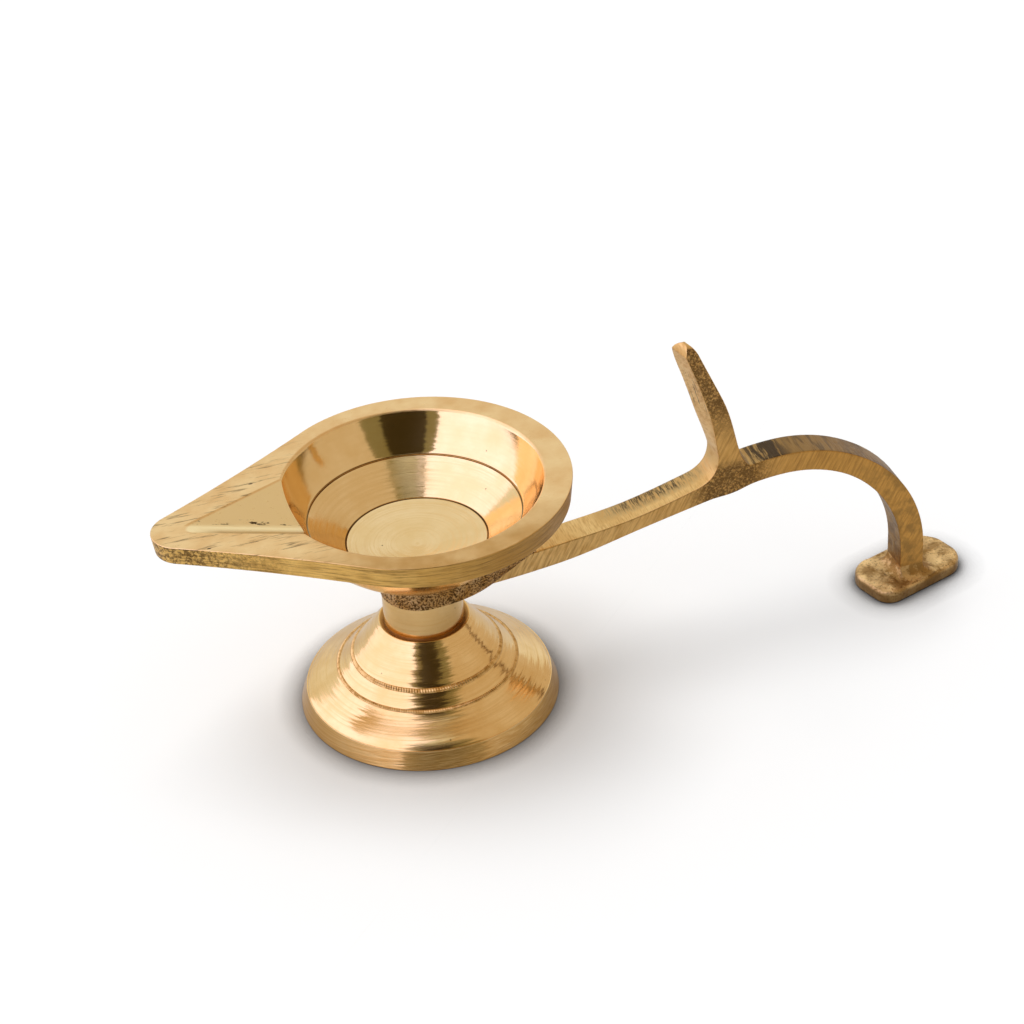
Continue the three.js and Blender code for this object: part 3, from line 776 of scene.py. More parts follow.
def fillet_ring(angle):
    spread = PAD_FILLET * (1 - math.sin(angle))
    level = bmesh.new()
    bmesh.ops.create_grid(level, x_segments=1, y_segments=1, size=0.5)
    resize(level, (LEG_THICKNESS + 2 * spread, STRAP_WIDTH + 2 * spread, 1))
    soften(level, level.verts[:], spread + EDGE_BREAK, FILLET_CORNER_STEPS)
    swing(level, PAD_TURN * spread / PAD_FILLET)
    height = PAD_THICKNESS + PAD_FILLET * (1 - math.cos(angle))
    move(level, (LEG_X, 0, height - FILLET_SINK))
    ring = [v.co.copy() for v in next(iter(level.faces)).verts]
    level.free()
    return ring


def add_fillet(shape):
    angles = [math.pi / 2 * i / FILLET_STEPS for i in range(FILLET_STEPS + 1)]
    fillet = loft(bmesh.new(), [fillet_ring(angle) for angle in angles])
    join(shape, fillet, PAD)


add_fillet(casting)
add_pad(casting)
handle = settle(casting, "cast_handle")
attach(handle, "handle")
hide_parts("handle")


# %% [markdown]
# ## The bowl
#
# The bowl is a teardrop plate on a turned belly. On the lathe it was hollowed and two
# fine lines were engraved in it, and the channel for the wick was filed into the spout
# by hand. It is made in the same order: plate, belly and keel are joined, then the
# hollow and the channel are cut out of them. The plate is a big and a small circle with
# slightly hollow flanks between them, and its side is lower at the spout's tip.

# %% Plate with the spout
RIM_TOP = 48.3
RIM_RADIUS = 28.6
RIM_OFFSET = 0.9
SPOUT_REACH = 48.6
SPOUT_TIP_RADIUS = 5.8
SPOUT_FLANK_HOLLOW = 0.5
RIM_SIDE_HEIGHT = 4.5
SPOUT_TIP_HEIGHT = 3.8
RIM_SIDE_TAPER = 0.5
RIM_EDGE = 0.22
RIM_STEPS = 160
TIP_STEPS = 40


def teardrop(inset):
    tip_x = -SPOUT_REACH + SPOUT_TIP_RADIUS
    corner = math.pi / 2 + math.asin((RIM_RADIUS - SPOUT_TIP_RADIUS) / (RIM_OFFSET - tip_x))
    back = arc((RIM_OFFSET, 0), RIM_RADIUS - inset, -corner, corner, RIM_STEPS)
    tip = arc((tip_x, 0), SPOUT_TIP_RADIUS - inset, corner, math.tau - corner, TIP_STEPS)
    far_flank = bow(back[-1], tip[0], SPOUT_FLANK_HOLLOW)[1:-1]
    near_flank = bow(tip[-1], back[0], SPOUT_FLANK_HOLLOW)[1:-1]
    return back + far_flank + tip + near_flank


def side_height(x):
    share = min(max(-x / SPOUT_REACH, 0), 1)
    return RIM_SIDE_HEIGHT + (SPOUT_TIP_HEIGHT - RIM_SIDE_HEIGHT) * share


def make_plate():
    shape = bmesh.new()
    _, top = wire(shape, [Vector((p.x, p.y, RIM_TOP)) for p in teardrop(0)], closed=True)
    low = [Vector((p.x, p.y, RIM_TOP - side_height(p.x))) for p in teardrop(RIM_SIDE_TAPER)]
    _, bottom = wire(shape, low, closed=True)
    bmesh.ops.bridge_loops(shape, edges=top + bottom)
    bmesh.ops.contextual_create(shape, geom=top)
    bmesh.ops.contextual_create(shape, geom=bottom)
    break_edges(shape, top + bottom, RIM_EDGE)
    return shape


plate = make_plate()
print(f"plate: {SPOUT_REACH + RIM_OFFSET + RIM_RADIUS:.1f} mm long, {len(plate.faces)} faces")

# %% [markdown]
# ## The belly and its hollow
#
# The belly is spun from a slightly curved side on a flat boss. The hollow is a cutter
# that is spun as well: dish, sloping wall and a soft lip, with a notch in the outline
# for each engraved line. Another cutter drills the boss for the stud.

# %% Belly and its cutters
BOSS_RADIUS = 8.4
BELLY_RADIUS = 25.2
BELLY_BULGE = 1.2
BOWL_THREAD_DEPTH = 3.8
MOUTH_RADIUS = 24.3
MOUTH_WALL_BULGE = 0.35
LIP = 0.3
UPPER_LINE = Vector((19.9, 40.9))
LOWER_LINE = Vector((13.2, 35.4))
DISH_HEIGHT = 34.1
DISH_BULGE = 0.25
LINE_WIDTH = 0.4
LINE_DEPTH = 0.25
BOSS_EDGE = 0.3
DISH_STEPS = 12
LIP_OVER = 0.02
OVERRUN = 1.0
BOWL_STEPS = 288
STUD_HOLE_STEPS = 72


def make_belly():
    shape = bmesh.new()
    side = bow((BOSS_RADIUS, EYE_TOP), (BELLY_RADIUS, RIM_TOP - RIM_SIDE_HEIGHT), -BELLY_BULGE)
    points = [(0, EYE_TOP)] + side + [(BELLY_RADIUS, RIM_TOP - OVERRUN), (0, RIM_TOP - OVERRUN)]
    verts, _ = wire(shape, upright(points))
    soften(shape, [verts[1]], BOSS_EDGE)
    turn(shape, BOWL_STEPS)
    return shape


def engraved(before, at, after):
    start = at + (before - at).normalized() * LINE_WIDTH / 2
    end = at + (after - at).normalized() * LINE_WIDTH / 2
    across = (end - start).normalized()
    return [start, at + Vector((across.y, -across.x)) * LINE_DEPTH, end]


def make_hollow():
    shape = bmesh.new()
    dish, lip = Vector((0, DISH_HEIGHT)), Vector((MOUTH_RADIUS, RIM_TOP))
    wall = bow(UPPER_LINE, lip, -MOUTH_WALL_BULGE)
    points = bow(dish, LOWER_LINE, -DISH_BULGE, DISH_STEPS)[:-1]
    points += engraved(dish, LOWER_LINE, UPPER_LINE)
    points += engraved(LOWER_LINE, UPPER_LINE, lip)
    points += [p for p in wall[1:-1] if p.y < RIM_TOP - LIP]
    points.append(Vector((MOUTH_RADIUS + LIP / 4, RIM_TOP - LIP / 3)))
    points.append(Vector((MOUTH_RADIUS + LIP, RIM_TOP + LIP_OVER)))
    points += [Vector((MOUTH_RADIUS + LIP, RIM_TOP + OVERRUN)), Vector((0, RIM_TOP + OVERRUN))]
    wire(shape, upright(points))
    turn(shape, BOWL_STEPS)
    return shape


def make_stud_hole():
    shape = bmesh.new()
    low, top = EYE_TOP - OVERRUN, EYE_TOP + BOWL_THREAD_DEPTH
    wire(shape, upright([(0, low), (STUD_HOLE_RADIUS, low), (STUD_HOLE_RADIUS, top), (0, top)]))
    turn(shape, STUD_HOLE_STEPS)
    return shape


print(f"hollow: {2 * MOUTH_RADIUS} mm wide and {RIM_TOP - DISH_HEIGHT:.1f} mm deep")

# %% [markdown]
# ## The wick's channel and the keel under it
#
# The channel falls from the tip to the mouth and grows wider as it falls, since its
# flanks keep one slope. The keel below it keeps a wall of even thickness. Both are
# lofts: rings across the spout, whose depth depends on how far out they stand.

# %% Channel and keel
CHANNEL_START = 41.3
CHANNEL_DEPTH = 4.66
CHANNEL_FLARE = 1.53
CHANNEL_ROOT_HALF = 1.7
CHANNEL_ROOT_DEPTH = 0.45
CHANNEL_ROOT_STEPS = 12
CHANNEL_RUN_OUT = 43.4
KEEL_WALL = 2.5
KEEL_WIDTH_SHARE = 0.72
KEEL_RINGS = 12
KEEL_STEPS = 24


def channel_depth(distance):
    return CHANNEL_DEPTH * (CHANNEL_START - distance) / (CHANNEL_START - MOUTH_RADIUS)


def keel_ring(distance):
    depth = channel_depth(distance) + KEEL_WALL
    rim_half = RIM_RADIUS + (SPOUT_TIP_RADIUS - RIM_RADIUS) * distance / SPOUT_REACH
    angles = [math.pi * i / KEEL_STEPS for i in range(KEEL_STEPS + 1)]
    half = KEEL_WIDTH_SHARE * rim_half
    top, drop = RIM_TOP - OVERRUN, depth - OVERRUN
    return [Vector((-distance, -half * math.cos(a), top - drop * math.sin(a))) for a in angles]


def channel_ring(distance):
    depth = channel_depth(distance)
    flank = CHANNEL_ROOT_HALF + (depth + OVERRUN) * CHANNEL_FLARE
    shares = [2 * i / CHANNEL_ROOT_STEPS - 1 for i in range(CHANNEL_ROOT_STEPS + 1)]
    root = [(CHANNEL_ROOT_HALF * s, -depth - CHANNEL_ROOT_DEPTH * (1 - s * s)) for s in shares]
    outline = [(-flank, OVERRUN)] + root + [(flank, OVERRUN)]
    return [Vector((-distance, y, RIM_TOP + z)) for y, z in outline]


def make_keel():
    reach = LOWER_LINE.x - CHANNEL_START
    distances = [CHANNEL_START + reach * i / KEEL_RINGS for i in range(KEEL_RINGS + 1)]
    return loft(bmesh.new(), [keel_ring(distance) for distance in distances])


def make_channel():
    return loft(bmesh.new(), [channel_ring(distance) for distance in (CHANNEL_RUN_OUT, LOWER_LINE.x)])


print(f"channel: {channel_depth(MOUTH_RADIUS)} mm deep at the mouth")

# %% [markdown]
# ## Joining and cutting the bowl
#
# Boolean modifiers join the plate, the belly and the keel, and then cut the hollow, the
# channel and the hole for the stud out of them. Only a cut gives the crisp corners where
# the channel breaks through the wall. The result is read back, so that no modifier
# waits on another object.

# %% Join and cut
def as_tool(shape, name):
    clean(shape)
    return put_in_scene(shape, name)


def carve(body, steps):
    tools = []
    for operation, shape in steps:
        tool = as_tool(shape, operation.lower())
        modifier = body.modifiers.new(operation, "BOOLEAN")
        modifier.operation = operation
        modifier.solver = "EXACT"
        modifier.object = tool
        tools.append(tool)
    depsgraph = bpy.context.evaluated_depsgraph_get()
    mesh = bpy.data.meshes.new_from_object(body.evaluated_get(depsgraph))
    for used in [body] + tools:
        bpy.data.objects.remove(used)
    carved = bmesh.new()
    carved.from_mesh(mesh)
    bpy.data.meshes.remove(mesh)
    return carved


def make_bowl():
    steps = [
        ("UNION", make_belly()),
        ("UNION", make_keel()),
        ("DIFFERENCE", make_hollow()),
        ("DIFFERENCE", make_channel()),
        ("DIFFERENCE", make_stud_hole()),
    ]
    return settle(carve(as_tool(plate, "plate"), steps), "teardrop_bowl", sharp_degrees=22)


bowl = make_bowl()
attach(bowl, "bowl")
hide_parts("bowl")


# %% [markdown]
# ## Helpers for materials
#
# A material is a tree of nodes. One helper adds a node, sets its fields and fills its
# sockets, so that each finish below reads from the pattern to the shader. `ramp` turns
# one stretch of a value into another, `between` picks a stretch and fades at both ends,
# and `mixed` lays one colour over another where a share is 1.

# %% Node helpers
def add_node(tree, kind, sockets, **fields):
    node = tree.nodes.new(kind)
    for name, value in fields.items():
        setattr(node, name, value)
    for socket, value in sockets.items():
        if isinstance(value, bpy.types.NodeSocket):
            tree.links.new(value, node.inputs[socket])
        else:
            node.inputs[socket].default_value = value
    return node


def maths(tree, operation, first, *others):
    for other in others:
        first = add_node(tree, "ShaderNodeMath", {0: first, 1: other}, operation=operation).outputs[0]
    return first


def plus(tree, first, *others):
    return maths(tree, "ADD", first, *others)


def minus(tree, first, *others):
    return maths(tree, "SUBTRACT", first, *others)


def times(tree, first, *others):
    return maths(tree, "MULTIPLY", first, *others)


def larger(tree, first, *others):
    return maths(tree, "MAXIMUM", first, *others)


def vectors(tree, operation, first, second=(0, 0, 0)):
    sockets = {0: first, "Scale" if operation == "SCALE" else 1: second}
    return add_node(tree, "ShaderNodeVectorMath", sockets, operation=operation).outputs[0]


def ramp(tree, value, low, high, start=0.0, end=1.0):
    sockets = {"Value": value, "From Min": low, "From Max": high, "To Min": start, "To Max": end}
    return add_node(tree, "ShaderNodeMapRange", sockets, clamp=True).outputs["Result"]


def between(tree, value, low, high, soft):
    rise = ramp(tree, value, low - soft, low + soft)
    return times(tree, rise, ramp(tree, value, high + soft, high - soft))


def mixed(tree, share, first, second):
    node = add_node(tree, "ShaderNodeMix", {}, data_type="RGBA")
    by_name = {socket.identifier: socket for socket in node.inputs}
    for name, value in (("Factor_Float", share), ("A_Color", first), ("B_Color", second)):
        if isinstance(value, bpy.types.NodeSocket):
            tree.links.new(value, by_name[name])
        else:
            by_name[name].default_value = value
    return next(socket for socket in node.outputs if socket.identifier == "Result_Color")


# %% [markdown]
# ## Places and patterns
#
# All patterns are measured in millimetres from the lamp's own axis. A noise gives values
# that gather round 0.5, and nearly all of them lie between 0.3 and 0.7, so `spread` maps
# that stretch on the wanted one. A place that is stretched before the noise reads it
# draws the noise out into scratches. `ring_place` gives a place by radius and height, so
# that a noise turns into rings, with a little drift so that no two rings are alike.

# %% Places and patterns
NOISE_LOW = 0.3
NOISE_HIGH = 0.7
PIT_FLOOR_SHARE = 0.6


def lamp_place(tree):
    place = add_node(tree, "ShaderNodeTexCoord", {}).outputs["Object"]
    return vectors(tree, "SCALE", vectors(tree, "SUBTRACT", place, (AXIS_X, 0, 0)), 1 / MM)


def parts(tree, place):
    return add_node(tree, "ShaderNodeSeparateXYZ", {0: place}).outputs


def length(tree, place):
    return add_node(tree, "ShaderNodeVectorMath", {0: place}, operation="LENGTH").outputs["Value"]


def stretched(tree, place, factors):
    return vectors(tree, "MULTIPLY", place, factors)


def leaning(tree, place, degrees):
    sockets = {"Vector": place, "Angle": math.radians(degrees)}
    return add_node(tree, "ShaderNodeVectorRotate", sockets, rotation_type="Y_AXIS").outputs[0]


def radius_at(tree, place):
    return length(tree, stretched(tree, place, (1, 1, 0)))


def ring_place(tree, place, fine, drift):
    sockets = {0: radius_at(tree, place), 1: parts(tree, place)["Z"]}
    rings = add_node(tree, "ShaderNodeCombineXYZ", sockets).outputs[0]
    drifting = vectors(tree, "SCALE", place, drift)
    return vectors(tree, "ADD", vectors(tree, "SCALE", rings, fine), drifting)


def around_axis(tree, place):
    along = vectors(tree, "CROSS_PRODUCT", (0, 0, 1), place)
    fields = {"vector_type": "VECTOR", "convert_from": "OBJECT", "convert_to": "WORLD"}
    turned = add_node(tree, "ShaderNodeVectorTransform", {0: along}, **fields).outputs[0]
    return vectors(tree, "NORMALIZE", turned)


def noise_at(tree, place, scale=1.0, detail=4.0, roughness=0.55):
    sockets = {"Vector": place, "Scale": scale, "Detail": detail, "Roughness": roughness}
    return add_node(tree, "ShaderNodeTexNoise", sockets).outputs["Fac"]


def spread(tree, pattern, start, end):
    return ramp(tree, pattern, NOISE_LOW, NOISE_HIGH, start, end)


def pits(tree, place, spacing, size, share):
    sockets = {"Vector": place, "Scale": 1 / spacing}
    cells = add_node(tree, "ShaderNodeTexVoronoi", sockets)
    near = ramp(tree, cells.outputs["Distance"], size / spacing, PIT_FLOOR_SHARE * size / spacing)
    chosen = add_node(tree, "ShaderNodeSeparateColor", {0: cells.outputs["Color"]}).outputs[0]
    return times(tree, near, maths(tree, "LESS_THAN", chosen, share))


# %% [markdown]
# ## Finishes of one brass
#
# The same metal looks different by what was last done to it: it was turned, polished,
# ground, filed, or left as it was cast. Every finish starts as a metal whose colour
# drifts between a pale and a deep brass, and marks in older and darker colours are laid
# over it. The same pattern gives the colour, the roughness and the bump, because a
# scratch is all three on real metal. A pair of numbers in capitals says where along the
# lamp, in millimetres, a mark starts and where it is full. The third number of three is
# how softly it fades.

# %% Colours of the brass
BRASS_PALE = (0.91, 0.65, 0.31, 1)
BRASS_DEEP = (0.80, 0.52, 0.20, 1)
BRASS_OLD = (0.50, 0.26, 0.06, 1)
GROOVE_SHADE_COLOUR = (0.34, 0.19, 0.055, 1)
TARNISH = (0.13, 0.07, 0.02, 1)
SOOT = (0.045, 0.028, 0.014, 1)
CLOUD_SIZE = 6.0
CLOUD_LOW = 0.35
CLOUD_HIGH = 0.68

finishes = {}


def new_brass(name):
    material = bpy.data.materials.new(name)
    material.use_nodes = True
    tree = material.node_tree
    shader = next(node for node in tree.nodes if node.type == "BSDF_PRINCIPLED")
    shader.inputs["Metallic"].default_value = 1.0
    print(f"finish: {name}")
    return material, tree, shader


def brass_colour(tree, place, pale, deep, size=CLOUD_SIZE):
    clouds = noise_at(tree, place, 1 / size)
    return mixed(tree, ramp(tree, clouds, CLOUD_LOW, CLOUD_HIGH), pale, deep)


def connect(tree, shader, colour, roughness, height, depth):
    tree.links.new(colour, shader.inputs["Base Color"])
    tree.links.new(roughness, shader.inputs["Roughness"])
    bump = add_node(tree, "ShaderNodeBump", {"Height": height, "Distance": depth * MM})
    tree.links.new(bump.outputs["Normal"], shader.inputs["Normal"])
    return bump


# %% [markdown]
# ## Dirt and painted shade on turned brass
#
# Tarnish stays in the two engraved lines, where no cloth reaches. The undercut groove under
# the stem gets painted shade, and the foot's band is darker in rings. A thin crack wanders
# up the wall of the bowl near the spout. Each of these is a share that is 1 where the mark
# is, worked out from radius and height, so that it follows the sizes of the shapes.

# %% Tarnish, painted shade and crack
GROOVE_FLOOR = CONE_TOP_HEIGHT - GROOVE_DEPTH
GROOVE_SHADE_DROP = 0.4
GROOVE_SHADE_SOFT = 0.06
GROOVE_SHADE_OUT, GROOVE_SHADE_IN = CONE_TOP_RADIUS - 0.1, CONE_TOP_RADIUS - 0.3
LINE_GRIME_DROP = 0.6
LINE_GRIME_RISE = 0.3
LINE_GRIME_SOFT = 0.06
LINE_GRIME_SOFT_HEIGHT = 0.05
BAND_DARKENING_FADE = 0.25
CRACK_Y = 5.2
CRACK_HALF_WIDTH = 0.08
CRACK_SOFT = 0.05
CRACK_WANDER = 0.7
CRACK_LOW = 41.5
CRACK_HIGH = 45.8
CRACK_FADE = 0.2
CRACK_SIDE = (-17, -18)


# Painted shade in the undercut groove under the stem: a share that is 1 in the groove.
def groove_shade(tree, place):
    height = parts(tree, place)["Z"]
    low = between(tree, height, GROOVE_FLOOR - GROOVE_SHADE_DROP, CONE_TOP_HEIGHT, GROOVE_SHADE_SOFT)
    return times(tree, low, ramp(tree, radius_at(tree, place), GROOVE_SHADE_OUT, GROOVE_SHADE_IN))


def line_grime(tree, place, line):
    half = LINE_WIDTH / 3
    near = between(tree, radius_at(tree, place), line.x - half, line.x + half, LINE_GRIME_SOFT)
    low, high = line.y - LINE_GRIME_DROP, line.y + LINE_GRIME_RISE
    return times(tree, near, between(tree, parts(tree, place)["Z"], low, high, LINE_GRIME_SOFT_HEIGHT))


def wall_crack(tree, place):
    x, y, z = parts(tree, place)
    crooked = noise_at(tree, place, scale=0.8, detail=3.0)
    wander = spread(tree, crooked, -CRACK_WANDER, CRACK_WANDER)
    low, high = CRACK_Y - CRACK_HALF_WIDTH, CRACK_Y + CRACK_HALF_WIDTH
    across = between(tree, plus(tree, y, wander), low, high, CRACK_SOFT)
    along = between(tree, z, CRACK_LOW, CRACK_HIGH, CRACK_FADE)
    return times(tree, across, along, ramp(tree, x, *CRACK_SIDE))


# %% [markdown]
# ## Turned and polished brass
#
# The foot and the bowl come from the lathe, whose tool leaves fine rings. Anisotropy
# along the rings smears a reflection up and down, as they do on real turned brass, and
# chatter of the tool tilts the surface a little sideways, which frays the reflection's
# edges. The bowl has the same finish with less of everything, because it was polished
# last. Below the upper engraved line its rings are stronger than on its wall.

# %% Turned and polished brass
BOWL_PALE = (0.92, 0.69, 0.36, 1)
BOWL_DEEP = (0.85, 0.60, 0.27, 1)
WALL_LINE = UPPER_LINE.y
WALL_BRUSHING = 0.3
RING_FINENESS = 6.0
RING_DRIFT = 0.35
RING_ROUGHNESS = 0.06
GROOVE_ROUGHNESS = 0.25
SMEAR = 0.6
QUARTER_TURN = 0.25


def rings_at(tree, place, fine, drift, detail=3.0, roughness=0.55):
    return noise_at(tree, ring_place(tree, place, fine, drift), 1.0, detail, roughness)


def turned_colour(tree, place, pale, deep, rings, streaks, brushed, holes, in_groove):
    height = parts(tree, place)["Z"]
    colour = brass_colour(tree, place, pale, deep)
    rubbed = times(tree, ramp(tree, streaks, 0.48, 0.62, end=0.7), brushed)
    colour = mixed(tree, rubbed, colour, deep)
    # painted shade in the undercut groove under the stem
    colour = mixed(tree, times(tree, in_groove, 0.5), colour, GROOVE_SHADE_COLOUR)
    # the foot's band is darker in rings
    on_band = ramp(tree, height, BAND_HEIGHT, BAND_HEIGHT - BAND_DARKENING_FADE)
    on_band = times(tree, on_band, ramp(tree, rings, 0.35, 0.6, 0.25, 0.75))
    colour = mixed(tree, on_band, colour, BRASS_OLD)
    for line in (UPPER_LINE, LOWER_LINE):
        colour = mixed(tree, times(tree, line_grime(tree, place, line), 0.85), colour, TARNISH)
    return mixed(tree, larger(tree, holes, wall_crack(tree, place)), colour, SOOT)


def fray_reflections(tree, shader, place, bump, fray):
    around = around_axis(tree, place)
    chatter = rings_at(tree, place, fine=2.6, drift=0.12)
    aside = vectors(tree, "SCALE", around, spread(tree, chatter, -fray, fray))
    tilted = vectors(tree, "NORMALIZE", vectors(tree, "ADD", bump.outputs["Normal"], aside))
    tree.links.new(tilted, shader.inputs["Normal"])
    tree.links.new(around, shader.inputs["Tangent"])
    shader.inputs["Anisotropic"].default_value = SMEAR
    shader.inputs["Anisotropic Rotation"].default_value = QUARTER_TURN


def turned_finish(name, mirror, depth, fray, marks=0.10, pale=BRASS_PALE, deep=BRASS_DEEP):
    material, tree, shader = new_brass(name)
    place = lamp_place(tree)
    rings = rings_at(tree, place, RING_FINENESS, RING_DRIFT)
    streaks = rings_at(tree, place, fine=2.2, drift=0.07, detail=4.0, roughness=0.7)
    brushed = ramp(tree, parts(tree, place)["Z"], WALL_LINE + 1, WALL_LINE, WALL_BRUSHING, 1.0)
    holes = pits(tree, place, spacing=2.2, size=0.16, share=0.2)
    in_groove = groove_shade(tree, place)
    colour = turned_colour(tree, place, pale, deep, rings, streaks, brushed, holes, in_groove)
    worn = times(tree, ramp(tree, streaks, 0.4, 0.7, end=marks), brushed)
    worn = plus(tree, worn, ramp(tree, rings, 0.3, 0.75, end=RING_ROUGHNESS))
    worn = plus(tree, worn, times(tree, in_groove, GROOVE_ROUGHNESS))
    bump = connect(tree, shader, colour, plus(tree, worn, mirror), minus(tree, rings, holes), depth)
    fray_reflections(tree, shader, place, bump, fray)
    return material


finishes["turned"] = turned_finish("turned_brass", mirror=0.11, depth=0.009, fray=0.065)
finishes["polished"] = turned_finish(
    "polished_brass", mirror=0.07, depth=0.004, fray=0.012, marks=0.16, pale=BOWL_PALE, deep=BOWL_DEEP
)

# %% [markdown]
# ## The milled lines' finish
#
# The pressed teeth are too small to polish, so old brass shows between their crowns. The
# geometry draws the teeth, and the finish only adds uneven grime.

# %% Milled brass
def milled_finish(name):
    material, tree, shader = new_brass(name)
    place = lamp_place(tree)
    grime = noise_at(tree, place, scale=1.1, detail=3.0)
    colour = mixed(tree, ramp(tree, grime, 0.45, 0.7), BRASS_DEEP, BRASS_OLD)
    connect(tree, shader, colour, ramp(tree, grime, 0, 1, 0.25, 0.45), grime, depth=0.02)
    return material


finishes["milled"] = milled_finish("milled_brass")

# %% [markdown]
# ## The ground rim and the channel
#
# The flat rim was ground along its length, which left straight scratches. On the spout
# dark streaks and dashes lie along them, since the wick rests there and its oil burns
# in. The channel is paler, with a brown line at its root and a few flecks of soot beside
# it. The side of the bowl that is handled most is browner.

# %% Ground rim
RIM_DEEP = (0.80, 0.50, 0.20, 1)
CHANNEL_PALE = (0.97, 0.78, 0.42, 1)
ROOT_BROWN = (0.50, 0.32, 0.13, 1)
SPOUT_SIDE = (-14, -26)
NEAR_SIDE = (-15, -24)
CHANNEL_SIDE = (-20, -21)
CHANNEL_TOP = (RIM_TOP - 0.15, RIM_TOP - 0.3)
ROOT_RUN_OUT = (-41, -36)
ROOT_LINE = (-1.7, 0.0, 0.6)
FLECK_LINE = (1.5, 2.3, 0.15)


def channel_colour(tree, place, colour):
    x, y, z = parts(tree, place)
    in_channel = times(tree, ramp(tree, z, *CHANNEL_TOP), ramp(tree, x, *CHANNEL_SIDE))
    colour = mixed(tree, in_channel, colour, CHANNEL_PALE)
    root = times(tree, between(tree, y, *ROOT_LINE), in_channel, ramp(tree, x, *ROOT_RUN_OUT))
    colour = mixed(tree, times(tree, root, 0.85), colour, ROOT_BROWN)
    gaps = noise_at(tree, stretched(tree, place, (0.3, 1.2, 0.0)), scale=1.0, detail=3.0, roughness=0.7)
    flecks = times(tree, between(tree, y, *FLECK_LINE), in_channel, ramp(tree, gaps, 0.54, 0.6))
    return mixed(tree, flecks, colour, SOOT)


def rim_finish(name):
    material, tree, shader = new_brass(name)
    place = lamp_place(tree)
    x, y, _ = parts(tree, place)
    along_rim = stretched(tree, place, (0.16, 1.5, 1.0))
    scratches = noise_at(tree, along_rim, scale=1.6, detail=5.0, roughness=0.65)
    sparse = noise_at(tree, stretched(tree, place, (0.11, 1.0, 1.0)), scale=1.3, detail=2.0)
    colour = brass_colour(tree, place, BRASS_PALE, RIM_DEEP)
    on_spout = ramp(tree, x, *SPOUT_SIDE)
    streaks = times(tree, ramp(tree, sparse, 0.52, 0.62), ramp(tree, scratches, 0.46, 0.6), on_spout)
    colour = mixed(tree, times(tree, streaks, 0.75), colour, TARNISH)
    colour = channel_colour(tree, place, colour)
    handled = ramp(tree, noise_at(tree, place, scale=0.22), 0.3, 0.6, 0.45, 0.8)
    colour = mixed(tree, times(tree, ramp(tree, y, *NEAR_SIDE), handled), colour, BRASS_OLD)
    dashes = pits(tree, stretched(tree, place, (0.4, 1, 1)), spacing=1.6, size=0.2, share=0.16)
    dashes = times(tree, dashes, on_spout)
    colour = mixed(tree, dashes, colour, SOOT)
    specks = pits(tree, place, spacing=3.4, size=0.16, share=0.12)
    colour = mixed(tree, specks, colour, TARNISH)
    rough = spread(tree, scratches, 0.26, 0.42)
    connect(tree, shader, colour, rough, minus(tree, scratches, dashes), depth=0.012)
    return material


finishes["rim"] = rim_finish("ground_rim")

# %% [markdown]
# ## The filed side of the rim
#
# A file went along the rim's side and left level scratches. It took less off the spout's
# tip, where the casting's rough skin still shows in dark patches. Towards the handle the
# side is darkened by painted shade.

# %% Filed rim side
SIDE_PALE = (0.97, 0.63, 0.19, 1)
SIDE_DEEP = (0.80, 0.49, 0.13, 1)
SIDE_SHADE_COLOUR = (0.35, 0.175, 0.038, 1)
SIDE_SCRATCH = (0.24, 0.13, 0.035, 1)
SIDE_SHADE_SPAN = (-18, 8)
TIP_SIDE = (-24, -42)


def side_finish(name):
    material, tree, shader = new_brass(name)
    place = lamp_place(tree)
    x = parts(tree, place)["X"]
    level = stretched(tree, place, (0.09, 0.09, 1.9))
    scratches = noise_at(tree, level, scale=1.6, detail=5.0, roughness=0.7)
    colour = brass_colour(tree, place, SIDE_PALE, SIDE_DEEP, size=4.0)
    # painted shade, darker towards the handle
    colour = mixed(tree, ramp(tree, x, *SIDE_SHADE_SPAN, end=0.8), colour, SIDE_SHADE_COLOUR)
    colour = mixed(tree, ramp(tree, scratches, 0.46, 0.66, end=0.8), colour, SIDE_SCRATCH)
    grain = noise_at(tree, place, scale=1.5, detail=4.0, roughness=0.7)
    raw = times(tree, ramp(tree, x, *TIP_SIDE), ramp(tree, grain, 0.55, 0.43))
    colour = mixed(tree, times(tree, raw, 0.85), colour, TARNISH)
    rough = spread(tree, scratches, 0.26, 0.46)
    connect(tree, shader, colour, rough, plus(tree, scratches, times(tree, raw, -0.6)), depth=0.10)
    return material


finishes["edge"] = side_finish("filed_rim_side")

# %% [markdown]
# ## The ground sides of the strap
#
# The strap's sides were ground on a slant, so their scratches are read from a place that
# leans over. The casting's skin is left under the thumb rest and on its upper half,
# where the wheel didn't reach, and dark patches come through on the leg.

# %% Ground strap sides
STRAP_DEEP = (0.60, 0.32, 0.08, 1)
STRAP_SCRATCH = (0.32, 0.165, 0.045, 1)
LEG_PATCH = (0.30, 0.17, 0.05, 1)
GRINDING_SLANT = -28
STRAP_DEEPENS = (24, 80)
LEG_SIDE = (84, 94)
UNDER_REST = (54, 68, 2.5)
UNDER_REST_TOP = (39.5, 37.5)
BESIDE_THE_REST = (45, 75, 1)
UP_THE_REST = (43, 52)


